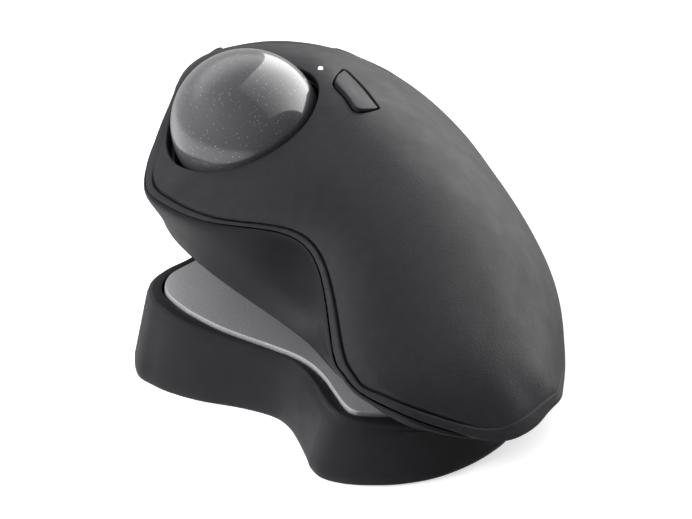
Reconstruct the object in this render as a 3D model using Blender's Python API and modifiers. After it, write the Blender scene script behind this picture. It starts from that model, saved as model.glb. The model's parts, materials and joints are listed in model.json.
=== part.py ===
"""Thumb-operated trackball mouse on a tilting hinge plate and a rubber riser.

World frame: X to the user's right, Y forward (buttons), Z up.  The origin
is on the desk, under the middle of the hinge ridge.  The mouse body is
drawn in its own frame (empty "mouse_frame"), which has its origin on the
hinge ridge and is leaned 30 degrees to the right: 10 degrees from the
riser and 20 degrees from the hinge plate.
Lengths in the tables are millimetres; MM turns them into metres.
"""
import bpy
import bmesh
from math import sin, cos, tan, pi, radians, atan2, sqrt
from mathutils import Vector, Matrix
import numpy as np

MM = 0.001

# ---- driving dimensions (mm, degrees) --------------------------------------
RISER_ANGLE = 10.0        # lean of the riser top
BODY_ANGLE = 20.0         # lean of the body on the plate in its tilted stop
RIDGE_HEIGHT = 14.0       # hinge ridge above the desk
PLATE_THICK = 2.4
PAD_THICK = 0.8
PLATE_GAP = 0.25          # running gap between the plate and the body's underside
RIM_DROP = 1.0            # riser rim below the plate's top
SHELL_THICK = 2.0
COVER_THICK = 1.8
BALL_R = 17.0
BALL_C = (-30.4, 6.0, 28.6)
BALL_N = (-0.80, 0.02, 0.60)      # axis of the ball opening
HOLE_R = 18.3
CUP_IN = 17.8
CUP_OUT = 19.5
WHEEL_C = (9.0, 45.0, 31.4)
WHEEL_R = 11.0
WHEEL_W = 6.0
TILT_PIN_Z = 17.0
PIVOT_Y, PIVOT_Z = 32.0, 35.0     # pivot rod of the main buttons
SEAM_Y = 34.0
SPINE = (2.7, 15.3)               # x range of the spine between the buttons
SEAM = 0.25                       # half of a seam

# upper surface of the body: rows front to rear, each row left to right
TOP = [
 [(-17,55,17),(-12,57,16),(-6,58.2,15.5),(0,58.8,15),(7,59,15),(14,59,15),(21,58.5,15),(29,57.5,15.5),(37,54.5,16.5),(44,50,19)],
 [(-20.5,51.5,20),(-17.5,54,23.5),(-12,55.5,26.5),(-6,56.3,29),(0,56.7,30.5),(7,56.8,31),(14,56.6,31),(24,55.5,29.5),(35,52.5,26),(46,46.5,20.5)],
 [(-25,47,21),(-23.5,48,26),(-20,49,30),(-14,50,33.5),(-7,50.5,36),(2,50.5,37.5),(12,50,38),(25,49.5,36),(37,47,31),(48,42,22)],
 [(-34,36.5,22),(-32.8,37.5,27.5),(-28.5,39,32),(-21.5,39.5,37),(-12,40,41),(-1,40,43.2),(12,40,43.3),(26,39.5,40.3),(40,38,33.5),(50.5,32,22.5)],
 [(-38.5,26,22),(-39.3,26.5,26),(-35,28,33),(-26,28,39.3),(-14,28,44),(-2,28,46.3),(12,28,45.8),(26,28,42.5),(41,27,35),(51.5,22,23)],
 [(-43.2,17,14.8),(-42,16.8,18.2),(-34,16.5,29),(-24,16,40.6),(-15.5,16,46.2),(-2,16,47.7),(12,16,46.6),(26,16,42.8),(41,16,35),(52,10,23)],
 [(-47.8,4,9),(-43.5,4,15.1),(-34,4,27.9),(-24,4,41.3),(-16,4,47),(-2,4,48),(12,4,46.3),(26,4,42),(41,4,33.8),(52,-1,22.3)],
 [(-46.8,-5,8.6),(-43,-5.5,15.4),(-34,-6.5,29.2),(-24.5,-6.5,40.8),(-16,-7,46.1),(-2,-7,47.8),(12,-7,45.9),(26,-8,41),(41,-9,32.3),(51.5,-12,21.5)],
 [(-40,-17,12),(-37,-19,18),(-30.5,-20,29),(-22,-20.5,37.3),(-13,-21,42.8),(-2,-21,45),(11,-21,43.6),(25,-21,39),(39.5,-22,30.8),(50,-22,20.8)],
 [(-28.5,-28.5,18.6),(-27,-31,23),(-22.5,-33,29),(-16,-34,34.5),(-8.5,-34.5,38.5),(0.5,-35,40),(12,-35,39),(25,-35,35),(38,-34,27.5),(46.3,-32,19.4)],
 [(-22.5,-39.5,14.8),(-21.5,-43,19.5),(-17.5,-46,24.5),(-12,-47.5,28.5),(-5,-48.5,31),(3,-49,32),(13,-48.5,31.5),(24,-47,28.5),(34.5,-45,23.8),(42.8,-41.5,17.4)],
 [(-20.8,-53,5.9),(-19,-56.5,11),(-14,-60,15.5),(-8,-62,18.5),(-1,-63,20.5),(6,-63,21.5),(14,-62,21.6),(23,-59.5,20.5),(31,-55.5,18.5),(39,-49.5,15.9)],
 [(-20,-59,4.2),(-15.5,-65,8),(-9,-68.5,10.5),(-1.5,-70,12),(6,-70.3,13),(13,-69.5,14),(19.5,-67,14.5),(25.5,-64,15),(30.5,-60,15.3),(36,-54.5,14.9)],
 [(-17.5,-64,3.2),(-11.5,-70.5,4),(-4,-73,4.3),(5,-74.3,4.9),(13,-74,5.8),(18.5,-72,7.8),(23.5,-68.8,9.8),(27,-65.5,11.3),(30.3,-62,12.7),(33.5,-58.5,14)],
]
# outline of the underside (x, y), one point for each point of the edge above
FOOT_LEFT = [(-14,47),(-17.5,43.5),(-21.5,39),(-28,29.5),(-32.5,21),(-36,11.5),(-37.6,2),(-36.6,-7.5),
             (-30.5,-19.5),(-21,-29.6),(-14.8,-36.5),(-13.3,-46),(-12.3,-56),(-10.5,-62.5)]
FOOT_REAR = [(-6.5,-66.2),(-1.5,-68),(5,-68.8),(11,-68.4),(16,-66.5),(20,-63.6),(23,-60.4),(25.5,-57)]
FOOT_RIGHT = [(28,-53),(29.5,-49),(31,-45),(33.5,-38.5),(36.5,-31),(39.5,-23),(41.5,-14),(42.5,-4),
              (43,6),(43,17),(42.5,26),(41,35),(39.5,40),(38,44)]
FOOT_FRONT = [(32,49),(25,51),(18,51.8),(12,52.2),(6,52.2),(0,51.8),(-5,51),(-10,49.5)]

# hinge plate outline (across the plate, y)
PLATE = [(-34.9,-1.6),(-34.4,-5),(-33.2,-9),(-31.2,-13.2),(-28.2,-18),(-24.2,-22.6),(-19.5,-27.2),
         (-15.6,-31.8),(-13.4,-36.6),(-12.6,-42),(-12.7,-49),(-12.7,-54),(-11.6,-56.6),(-8.5,-57.6),
         (-3,-58.3),(4,-58.4),(11,-57),(17,-54),(21.5,-49.5),(24.5,-43),(26.5,-34),(27.6,-24),
         (28.2,-12),(28.4,0),(28,11),(26,21),(21.5,28.5),(14,33),(5,33.3),(-3,29.5),(-10,23),
         (-17,17),(-24.8,11.6),(-30.7,7.2),(-33.9,2.6)]
# riser: foot outline (x, y) and rim outline (x, y)
RISER = [(-42.7,-2.4,-38.8,-2.5),(-41.2,-7.6,-38,-7.8),(-38.2,-12.8,-35.6,-13),(-33.1,-18.5,-31,-18.4),
         (-25.8,-24.5,-24.6,-24.3),(-20.8,-30,-19,-29.6),(-19,-34.6,-16.4,-34.2),(-18.8,-40.3,-15.6,-40),
         (-19.6,-48.4,-15.9,-48),(-20.2,-52.7,-16,-52.5),(-19.4,-56.7,-14.9,-56.6),(-16.2,-60.2,-12,-59.6),
         (-11.6,-62.9,-8,-61.4),(-4.5,-65.4,-2,-63),(3.8,-66.1,4,-63.4),(12.3,-64.4,11,-61.8),
         (19.6,-61.3,17.5,-58.6),(25,-57.5,22.8,-54.5),(29,-51,26.4,-48),(31.5,-42,28.8,-40),
         (33,-31,30.4,-30),(34,-19,31.4,-18.5),(34.5,-6,32,-6),(34.5,7,32,6.5),(33,19,30.5,17.8),
         (28.8,29,26.5,27.3),(21.5,36.8,20,34.5),(12,40,11.5,37.5),(1.5,38.5,2,36),(-8.5,33,-6.8,30.6),
         (-17.5,25.5,-15.2,22.8),(-26,19,-23.4,16),(-34,12.6,-30.8,10.9),(-39.8,6.2,-36.4,5)]
# precision button outline and the small side buttons
PRECISION = [(-12.3,9.8),(-12.9,9.2),(-14.3,7.2),(-16.7,3.8),(-18.6,0.4),(-18.85,-0.7),(-18.7,-2.9),(-18.1,-5.9),(-17.55,-9.2),
             (-17.1,-10.2),(-16.3,-10.6),(-14.5,-10.2),(-12.4,-9.2),(-11.45,-8.5),(-11.3,-7.9),(-11.5,-6.2),(-11.75,-1.8),
             (-11.85,2.8),(-11.9,8),(-11.95,9.3)]

# ---- scene -----------------------------------------------------------------
for ob in list(bpy.data.objects):
    bpy.data.objects.remove(ob, do_unlink=True)

parts = bpy.data.collections.new("trackball_mouse")
cutters = bpy.data.collections.new("cutters")
bpy.context.scene.collection.children.link(parts)
bpy.context.scene.collection.children.link(cutters)

mouse_frame = bpy.data.objects.new("mouse_frame", None)
mouse_frame.location = (0, 0, RIDGE_HEIGHT * MM)
mouse_frame.rotation_euler = (0, radians(RISER_ANGLE + BODY_ANGLE), 0)
plate_frame = bpy.data.objects.new("plate_frame", None)
plate_frame.location = (0, 0, (RIDGE_HEIGHT - PLATE_GAP) * MM)
plate_frame.rotation_euler = (0, radians(RISER_ANGLE), 0)
ball_frame = bpy.data.objects.new("ball_frame", None)
ball_frame.location = Vector(BALL_C) * MM
ball_frame.rotation_euler = Vector(BALL_N).to_track_quat('Z', 'Y').to_euler()
ball_frame.parent = mouse_frame
for e in (mouse_frame, plate_frame, ball_frame):
    parts.objects.link(e)

mats = {}


def material(name, rgb, rough=0.5, metal=0.0):
    if name not in mats:
        m = bpy.data.materials.new(name)
        m.use_nodes = True
        b = m.node_tree.nodes["Principled BSDF"]
        b.inputs["Base Color"].default_value = (*rgb, 1)
        b.inputs["Roughness"].default_value = rough
        b.inputs["Metallic"].default_value = metal
        mats[name] = m
    return mats[name]


def finish(ob, mat, parent=mouse_frame, loc=(0, 0, 0), rot=(0, 0, 0), cutter=False):
    ob.parent = parent
    ob.location = Vector(loc) * MM
    ob.rotation_euler = rot
    if cutter:
        cutters.objects.link(ob)
        ob.hide_render = True
        ob.display_type = 'WIRE'
    else:
        parts.objects.link(ob)
        ob.data.materials.clear()
        ob.data.materials.append(mat)
    return ob


def from_bm(name, bm):
    bmesh.ops.recalc_face_normals(bm, faces=bm.faces)
    me = bpy.data.meshes.new(name)
    bm.to_mesh(me)
    bm.free()
    return bpy.data.objects.new(name, me)


def box(name, lo, hi, mat=None, parent=mouse_frame, bevel=0.0, rot=(0, 0, 0), origin=None, cutter=False):
    """Box between two corners; the object's origin is its centre unless given."""
    lo, hi = Vector(lo), Vector(hi)
    c = Vector(origin) if origin else (lo + hi) / 2
    bm = bmesh.new()
    bmesh.ops.create_cube(bm, size=1.0)
    for v in bm.verts:
        v.co = Vector([(v.co[i] * (hi - lo)[i] + ((lo + hi) / 2 - c)[i]) * MM for i in range(3)])
    ob = from_bm(name, bm)
    if bevel:
        b = ob.modifiers.new("edge", 'BEVEL')
        b.width = bevel * MM
        b.segments = 1
        b.limit_method = 'ANGLE'
    return finish(ob, mat, parent, c, rot, cutter)


def turned(name, profile, mat=None, parent=mouse_frame, loc=(0, 0, 0), rot=(0, 0, 0), steps=24, cutter=False):
    """Closed profile [(r, z)], turned about Z."""
    me = bpy.data.meshes.new(name)
    vs = [(r * MM, 0, z * MM) for r, z in profile]
    closed = profile[0][0] > 1e-6 or profile[-1][0] > 1e-6
    es = [(i, i + 1) for i in range(len(vs) - 1)]
    if closed:
        es.append((len(vs) - 1, 0))
    me.from_pydata(vs, es, [])
    ob = bpy.data.objects.new(name, me)
    s = ob.modifiers.new("turn", 'SCREW')
    s.axis = 'Z'
    s.steps = steps
    s.render_steps = steps
    s.use_merge_vertices = True
    s.merge_threshold = 1e-6
    return finish(ob, mat, parent, loc, rot, cutter)


def rod(name, r, lo, hi, mat=None, parent=mouse_frame, loc=(0, 0, 0), rot=(0, 0, 0), steps=16, chamfer=0.0, cutter=False):
    """Solid round bar along local Z from lo to hi."""
    c = chamfer
    if c:
        prof = [(0, hi), (r - c, hi), (r, hi - c), (r, lo + c), (r - c, lo), (0, lo)]
    else:
        prof = [(0, hi), (r, hi), (r, lo), (0, lo)]
    return turned(name, prof, mat, parent, loc, rot, steps, cutter)


def prism(name, outline, d0, d1, mat=None, parent=mouse_frame, loc=(0, 0, 0), rot=(0, 0, 0), cutter=False):
    """Flat outline [(x, y)] extruded along local Z from d0 to d1."""
    bm = bmesh.new()
    vs = [bm.verts.new((x * MM, y * MM, d0 * MM)) for x, y in outline]
    f = bm.faces.new(vs)
    r = bmesh.ops.extrude_face_region(bm, geom=[f])
    for v in r["geom"]:
        if isinstance(v, bmesh.types.BMVert):
            v.co.z = d1 * MM
    return finish(from_bm(name, bm), mat, parent, loc, rot, cutter)


def cut(ob, other, op='DIFFERENCE'):
    m = ob.modifiers.new(op.lower(), 'BOOLEAN')
    m.operation = op
    m.object = other
    m.solver = 'EXACT'
    return ob


def smooth(ob, angle=35):
    ob.data.shade_smooth()
    ob.data.set_sharp_from_angle(angle=radians(angle))
    return ob


def closed_spline(points, n):
    """Even-parameter samples of a smooth closed curve through the points."""
    P = np.array(points, float)
    k = len(P)
    out = []
    for q in range(n):
        u = q * k / n
        i = int(u) % k
        t = u - int(u)
        a, b, c, d = P[(i - 1) % k], P[i], P[(i + 1) % k], P[(i + 2) % k]
        out.append(tuple(0.5 * (2 * b + (c - a) * t + (2 * a - 5 * b + 4 * c - d) * t * t
                                + (3 * b - a - 3 * c + d) * t ** 3)))
    return out


def offset(outline, d):
    """Move a closed plan outline outwards by d."""
    P = np.array(outline, float)[:, :2]
    T = np.roll(P, -1, 0) - np.roll(P, 1, 0)
    N = np.stack([T[:, 1], -T[:, 0]], 1)
    N /= np.linalg.norm(N, axis=1)[:, None]
    area = 0.5 * np.sum(P[:, 0] * np.roll(P[:, 1], -1) - np.roll(P[:, 0], -1) * P[:, 1])
    return [tuple(p) for p in P + N * d * (1 if area > 0 else -1)]


def foot_z(x):
    """Height of the two flat undersides, which meet at the ridge x = 0."""
    return max(0.0, x * tan(radians(BODY_ANGLE)))


# ---- the body's upper surface as a subdivision cage -------------------------
def limit(C):
    """Where a subdivision cage's own points land on its smooth surface."""
    L = C.copy()
    L[1:-1, 1:-1] = (16 * C[1:-1, 1:-1] + 4 * (C[:-2, 1:-1] + C[2:, 1:-1] + C[1:-1, :-2] + C[1:-1, 2:])
                     + C[:-2, :-2] + C[:-2, 2:] + C[2:, :-2] + C[2:, 2:]) / 36
    for i in (0, -1):
        L[i, 1:-1] = (4 * C[i, 1:-1] + C[i, :-2] + C[i, 2:]) / 6
        L[1:-1, i] = (4 * C[1:-1, i] + C[:-2, i] + C[2:, i]) / 6
    for i, a in ((0, 1), (-1, -2)):
        for j, b in ((0, 1), (-1, -2)):
            L[i, j] = (4 * C[i, j] + C[a, j] + C[i, b]) / 6
    return L


TABLE = np.array(TOP, float)
CAGE = TABLE.copy()
for _ in range(40):
    CAGE += (TABLE - limit(CAGE)) * 0.9
ROWS, COLS = CAGE.shape[:2]


def edge_direction(A, i, j):
    """Unit direction in which the surface runs out over its border at (i, j)."""
    d = np.zeros(3)
    for on, a, b, c in ((j == 0, A[i, 0], A[i, 1], A[i, 2]), (j == COLS - 1, A[i, -1], A[i, -2], A[i, -3]),
                        (i == 0, A[0, j], A[1, j], A[2, j]), (i == ROWS - 1, A[-1, j], A[-2, j], A[-3, j])):
        if on:
            e = 1.5 * a - 2 * b + 0.5 * c
            d += e / np.linalg.norm(e)
    return d / np.linalg.norm(d)


BORDER = ([(i, 0) for i in range(ROWS)] + [(ROWS - 1, j) for j in range(1, COLS - 1)]
          + [(i, COLS - 1) for i in range(ROWS - 1, -1, -1)] + [(0, j) for j in range(COLS - 2, 0, -1)])


def surface_z(x, y):
    """Height of the upper surface over a plan point, between the table's points."""
    for i in range(ROWS - 1):
        for j in range(COLS - 1):
            q = [TABLE[i, j], TABLE[i + 1, j], TABLE[i + 1, j + 1], TABLE[i, j + 1]]
            for a, b, c in ((q[0], q[1], q[2]), (q[0], q[2], q[3])):
                d = (b[0] - a[0]) * (c[1] - a[1]) - (c[0] - a[0]) * (b[1] - a[1])
                if abs(d) < 1e-9:
                    continue
                u = ((x - a[0]) * (c[1] - a[1]) - (c[0] - a[0]) * (y - a[1])) / d
                v = ((b[0] - a[0]) * (y - a[1]) - (x - a[0]) * (b[1] - a[1])) / d
                if u >= -1e-6 and v >= -1e-6 and u + v <= 1 + 1e-6:
                    return a[2] + u * (b[2] - a[2]) + v * (c[2] - a[2])
    raise ValueError("outside the plan")


def top_mesh(name, CAGE=CAGE):
    me = bpy.data.meshes.new(name)
    faces = [(i * COLS + j, (i + 1) * COLS + j, (i + 1) * COLS + j + 1, i * COLS + j + 1)
             for i in range(ROWS - 1) for j in range(COLS - 1)]
    me.from_pydata([tuple(v * MM) for v in CAGE.reshape(-1, 3)], [], faces)
    return me


def subdivide(ob, levels=1):
    s = ob.modifiers.new("subdivision", 'SUBSURF')
    s.levels = s.render_levels = levels
    s.boundary_smooth = 'ALL'
    s.use_limit_surface = True
    return s


def top_skin(name, mat, thick=SHELL_THICK, shift=-1.0, cutter=False, cage=CAGE):
    """The upper surface as a closed shell of even thickness."""
    ob = bpy.data.objects.new(name, top_mesh(name, cage))
    finish(ob, mat, cutter=cutter)
    subdivide(ob)
    s = ob.modifiers.new("wall", 'SOLIDIFY')
    s.thickness = thick * MM
    s.offset = shift
    s.use_even_offset = True
    return ob


# ---- materials --------------------------------------------------------------
coat = material("rubber_coated_shell", (0.045, 0.045, 0.05), 0.6)
casing = material("moulded_casing", (0.04, 0.04, 0.045), 0.55)
riser_rubber = material("riser_rubber", (0.035, 0.035, 0.04), 0.75)
steel = material("blasted_steel", (0.45, 0.45, 0.47), 0.45, 1.0)
pin_steel = material("bright_steel", (0.6, 0.6, 0.62), 0.25, 1.0)
ball_mat = material("pearl_grey_ball", (0.16, 0.16, 0.18), 0.2, 0.3)
black = material("black_nylon", (0.02, 0.02, 0.022), 0.6)
ceramic = material("white_ceramic", (0.85, 0.84, 0.8), 0.2)
board = material("board_green", (0.02, 0.12, 0.05), 0.5)
chip = material("chip_black", (0.015, 0.015, 0.015), 0.4)
clear = material("clear_lens", (0.7, 0.75, 0.8), 0.1)
foil = material("cell_foil", (0.5, 0.5, 0.52), 0.4, 0.6)
magnet = material("nickel_magnet", (0.55, 0.55, 0.55), 0.3, 1.0)
led_white = material("led_white", (0.9, 0.9, 0.88), 0.3)
switch_red = material("switch_plunger_red", (0.5, 0.05, 0.04), 0.4)
tyre = material("tyre_rubber", (0.03, 0.03, 0.03), 0.8)

# ---- riser, hinge plate, pad ------------------------------------------------
n_out = 60
foot = closed_spline([(a, b) for a, b, c, d in RISER], n_out)
rim = closed_spline([(c, d) for a, b, c, d in RISER], n_out)
slope = tan(radians(RISER_ANGLE))


def riser_ring(k, inset_foot=0.0, inset_rim=0.0, drop=0.0, z0=None):
    """k = 0 at the foot outline, 1 at the rim outline."""
    f, r = offset(foot, -inset_foot), offset(rim, -inset_rim)
    out = []
    for (fx, fy), (rx, ry) in zip(f, r):
        top = RIDGE_HEIGHT - RIM_DROP - rx * slope - drop
        z = z0 if z0 is not None else (1 - k) * 2.0 + k * top
        out.append((fx + (rx - fx) * k, fy + (ry - fy) * k, z))
    return out


rings = [riser_ring(0, 1.4, z0=0.0), riser_ring(0, 0.35, z0=0.6), riser_ring(0.02, 0.0), riser_ring(0.45),
         riser_ring(1.0, 0, 0.0, 0.9), riser_ring(1.0, 0, 0.7, 0.0)]
bm = bmesh.new()
loops = [[bm.verts.new(Vector(p) * MM) for p in ring] for ring in rings]
for a, b in zip(loops[:-1], loops[1:]):
    for i in range(n_out):
        bm.faces.new((a[i], a[(i + 1) % n_out], b[(i + 1) % n_out], b[i]))
bm.faces.new(loops[0])
bm.faces.new(loops[-1])
wedge = smooth(finish(from_bm("wedge_riser", bm), riser_rubber, None))
plate_out = closed_spline(PLATE, n_out)
cut(wedge, prism("riser_recess", offset(plate_out, 1.0), -(PLATE_THICK + PAD_THICK + 0.6), 12.0,
                 parent=plate_frame, cutter=True))

plate = prism("base_plate", plate_out, -PLATE_THICK, 0.0, steel, plate_frame)
b = plate.modifiers.new("edge", 'BEVEL')
b.width = 0.5 * MM
b.segments = 1
b.limit_method = 'ANGLE'
b.angle_limit = radians(50)
cut(plate, box("plate_groove", (-1.9, -44.5, -1.7), (1.9, 27.0, 1.0), parent=plate_frame, cutter=True))
prism("plate_rubber_pad", offset(plate_out, -0.6), -PLATE_THICK - 0.3 - PAD_THICK, -PLATE_THICK - 0.3,
      riser_rubber, plate_frame)

smooth(rod("hinge_pin", 1.25, -34.5, 34.5, pin_steel, plate_frame, (0, -8.75, PLATE_GAP), (radians(90), 0, 0), 14, 0.3))


def arch(r, a0, a1, n=6):
    return [(r * cos(radians(a0 + (a1 - a0) * i / n)), r * sin(radians(a0 + (a1 - a0) * i / n))) for i in range(n + 1)]


strap = [(-2.9, 0.3), (-1.62, 0.3)] + arch(1.62, 165, 15) + [(1.62, 0.3), (2.9, 0.3), (2.9, 2.2), (2.3, 2.7), (-2.3, 2.7), (-2.9, 2.2)]
for name, y in (("hinge_strap_front", 24.5), ("hinge_strap_rear", -37.5)):
    prism(name, strap, 0, 5.0, steel, plate_frame, (0, y, 0), (radians(90), 0, 0))
saddle = [(-3.0, 0.5), (-1.62, 0.5)] + arch(1.7, 160, 42) + [(3.0, 1.5), (3.0, 3.7), (-3.0, 3.7)]
for name, y in (("hinge_saddle_front", 14.0), ("hinge_saddle_rear", -22.0)):
    prism(name, saddle, 0, 8.0, black, mouse_frame, (0, y, 0), (radians(90), 0, 0))

# ---- body shells ------------------------------------------------------------
FRONT, REAR = 80.0, -80.0
top_shell = top_skin("top_shell", coat)
ring = np.array([CAGE[i, j] for i, j in BORDER])
EDGE_DOWN = np.array([edge_direction(TABLE, i, j) for i, j in BORDER])
for k, (i, j) in enumerate(BORDER):
    if i in (0, ROWS - 1) and j in (0, COLS - 1):
        EDGE_DOWN[k] = 0.5 * (EDGE_DOWN[k - 1] + EDGE_DOWN[(k + 1) % len(ring)])
for step in range(2):
    EDGE_DOWN[:, 2] = np.minimum(EDGE_DOWN[:, 2], -0.72)
    EDGE_DOWN = 0.5 * EDGE_DOWN + 0.25 * (np.roll(EDGE_DOWN, 1, 0) + np.roll(EDGE_DOWN, -1, 0))


def edge_frame(k):
    """Direction down past the edge, and the outward normal, at border point k."""
    along = ring[(k + 1) % len(ring)] - ring[k - 1]
    along /= np.linalg.norm(along)
    t = EDGE_DOWN[k] - along * np.dot(EDGE_DOWN[k], along)
    t /= np.linalg.norm(t)
    return t, np.cross(t, along)


def edge_gap(k):
    """Gap under the upper shell; wider under the keys, which travel, and at the low rear corner."""
    y = ring[k][1]
    return 0.45 + 0.9 * min(1.0, max(0.0, (y - 33.0) / 18.0)) + 0.7 * min(1.0, max(0.0, (-56.0 - y) / 6.0))


n_ring = len(ring)
foot_pts = np.array(FOOT_LEFT + FOOT_REAR + FOOT_RIGHT + FOOT_FRONT, float)

bm = bmesh.new()
sections = []
for i in range(n_ring):
    t, nrm = edge_frame(i)
    fx, fy = foot_pts[i]
    base = np.array([fx, fy, foot_z(fx)])
    out_dir = np.array([ring[i][0] - fx, ring[i][1] - fy, 0.0])
    out_dir /= np.linalg.norm(out_dir)
    up = np.array([0, 0, 1.0])
    # a lip that meets the upper shell edge to edge
    p0 = ring[i] + t * edge_gap(i)
    drop = p0 - base
    p2 = base + 0.48 * drop
    lip = [p0, p0 + t * 1.5, p2, base, base - out_dir * 2.0, p2 - out_dir * 1.9 + up * 0.2, p0 - nrm * 1.7 + t * 1.6]
    # at the low rear corner the casing tucks in behind the upper shell
    a = ring[i] - nrm * 3.6 + t * 0.0
    b = ring[i] - nrm * 3.6 + t * 0.5
    c = 0.5 * (b + base)
    tuck = [a, b, c, base, base - out_dir * 2.0, c - out_dir * 1.6 + up * 1.5, a - out_dir * 1.6 + up * 0.9]
    w = min(1.0, max(0.0, ring[i][2] - base[2] - 2.1))
    pts = [w * l + (1 - w) * m for l, m in zip(lip, tuck)]
    for q in (3, 4):
        pts[q][2] = foot_z(pts[q][0])
    sections.append([bm.verts.new(Vector(p) * MM) for p in pts])
nsec = len(sections[0])
for i in range(n_ring):
    a, b = sections[i], sections[(i + 1) % n_ring]
    for k in range(nsec):
        bm.faces.new((a[k], a[(k + 1) % nsec], b[(k + 1) % nsec], b[k]))
bm.edges.ensure_lookup_table()
crease = bm.edges.layers.float.new("crease_edge")
for i in range(n_ring):
    for k in (0, 3, 4, 6):
        e = bm.edges.get((sections[i][k], sections[(i + 1) % n_ring][k]))
        e[crease] = 1.0
lower_shell = finish(from_bm("lower_shell", bm), casing)
subdivide(lower_shell)

bm = bmesh.new()
bmesh.ops.create_uvsphere(bm, u_segments=36, v_segments=18, radius=(CUP_OUT + 0.6) * MM)
cut(lower_shell, finish(from_bm("cup_room", bm), None, ball_frame, cutter=True))

foot_in = closed_spline([tuple(p) for p in offset(foot_pts, -2.5)], 66)
cover = prism("bottom_cover", foot_in, -4, 40, casing)
v_sheet = [(-60, 0), (0, 0), (70, 70 * tan(radians(BODY_ANGLE))),
           (70, 70 * tan(radians(BODY_ANGLE)) + COVER_THICK * 1.064), (-0.32, COVER_THICK), (-60, COVER_THICK)]
cut(cover, prism("cover_sheet", v_sheet, -70, 70, rot=(radians(90), 0, 0), cutter=True), 'INTERSECT')
channel = [(-6.2, 0.6), (0, 0.6), (6.2, 2.9), (6.2, 6.4), (-6.2, 6.0)]
cut(cover, prism("hinge_channel", channel, -32.5, 48.5, rot=(radians(90), 0, 0), cutter=True), 'UNION')
cut(cover, box("hinge_groove", (-4.5, -47.0, -6), (4.5, 31.0, 4.4), cutter=True))

# ball opening
cut(top_shell, rod("ball_opening", HOLE_R, -6, 30, parent=ball_frame, steps=40, cutter=True))

# seams of the two main buttons
gap_boxes = {
    "left": ((-70, SEAM_Y, -20), (SPINE[0], FRONT, 80)),
    "right": ((SPINE[1], SEAM_Y, -20), (80, FRONT, 80)),
}
for side, (lo, hi) in gap_boxes.items():
    s = 1 if side == "left" else -1
    big_lo = (lo[0] - (SEAM if s < 0 else 0), lo[1] - SEAM, lo[2])
    big_hi = (hi[0] + (SEAM if s > 0 else 0), hi[1], hi[2])
    small_lo = (lo[0] + (SEAM if s < 0 else 0), lo[1] + SEAM, lo[2])
    small_hi = (hi[0] - (SEAM if s > 0 else 0), hi[1], hi[2])
    cut(top_shell, box(side + "_seam", big_lo, big_hi, cutter=True))
    btn = top_skin(side + "_button", coat)
    cut(btn, box(side + "_key_region", small_lo, small_hi, cutter=True), 'INTERSECT')

left_button = bpy.data.objects["left_button"]
right_button = bpy.data.objects["right_button"]
cut(top_shell, box("wheel_slot", (WHEEL_C[0] - 4.7, 33.2, 27.0), (WHEEL_C[0] + 4.7, 56.6, 60), cutter=True))

# key arms that reach the pivot rod, and the posts that press the switches
for ob, xs, post, tip in ((left_button, (-20.0, -5.0), (-9.0, 47.0), 29.6),
                          (right_button, (26.6, 31.2), (27.0, 46.0), 29.6)):
    post = (post[0], post[1], surface_z(*post) - 0.9)
    for k, x in enumerate(xs):
        top = surface_z(x, SEAM_Y + 1.6) - 1.1 - PIVOT_Z
        arm = [(-1.2, -1.8), (4.8, -1.8), (4.8, top - 0.3), (2.5, top), (2.5, 1.8), (-1.2, 1.8), (-1.9, 0)]
        a = prism(ob.name + "_arm_%d" % k, arm, -1.5, 1.5, parent=mouse_frame, loc=(x, PIVOT_Y, PIVOT_Z), cutter=True)
        a.rotation_euler = (radians(90), 0, radians(90))
        cut(ob, a, 'UNION')
    cut(ob, box(ob.name + "_post", (post[0] - 1.2, post[1] - 1.2, tip), (post[0] + 1.2, post[1] + 1.2, post[2]), cutter=True), 'UNION')
    cut(ob, rod(ob.name + "_bore", 1.35, -30, 40, loc=(5, PIVOT_Y, PIVOT_Z), rot=(0, radians(90), 0), steps=14, cutter=True))
smooth(rod("button_pivot_rod", 1.0, -23, 37, pin_steel, loc=(0, PIVOT_Y, PIVOT_Z), rot=(0, radians(90), 0), steps=12))

# ribs of the top shell that hold the rod
for k, x in enumerate((-1.2, 18.0)):
    cut(top_shell, box("rod_rib_%d" % k, (x - 1.0, 30.2, 33.2), (x + 1.0, 33.5, surface_z(x, 33) - 1.0), cutter=True), 'UNION')
cut(top_shell, rod("rod_rib_bore", 1.35, -30, 40, loc=(5, PIVOT_Y, PIVOT_Z), rot=(0, radians(90), 0), steps=14, cutter=True))

# screw posts
SCREWS = [(-9.0, -33.2), (22.3, -50.5), (22.3, 27.8), (-15.0, 28.0)]
for k, (x, y) in enumerate(SCREWS):
    z = surface_z(x, y) - 1.0
    z0 = foot_z(x) + 3.2 + (1.0 if x > 0 else 0)
    cut(top_shell, rod("screw_post_%d" % k, 2.5, z0, z, loc=(x, y, 0), steps=14, cutter=True), 'UNION')
    cut(top_shell, rod("screw_pilot_%d" % k, 1.25, z0 - 2, z0 + 8, loc=(x, y, 0), steps=10, cutter=True))
    zb = foot_z(x)
    cut(cover, rod("screw_hole_%d" % k, 1.5, -5, 30, loc=(x, y, 0), steps=10, cutter=True))
    cut(cover, rod("screw_recess_%d" % k, 2.6, -8, zb + 1.1, loc=(x, y, 0), steps=14, cutter=True))
    smooth(turned("case_screw_%d" % (k + 1), [(0, z0 + 6), (0.95, z0 + 5.4), (0.95, zb + 1.3), (2.1, zb + 0.45),
                                              (2.1, zb + 0.25), (0, zb + 0.25)], pin_steel, loc=(x, y, 0), steps=12))

# ---- small buttons on the surface ------------------------------------------
def frame_at(p, n, up=(0, 1, 0)):
    n = Vector(n).normalized()
    e = Vector(up)
    e = (e - n * e.dot(n)).normalized()
    x = e.cross(n)
    m = Matrix((x, e, n)).transposed()
    return m.to_euler()


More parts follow.
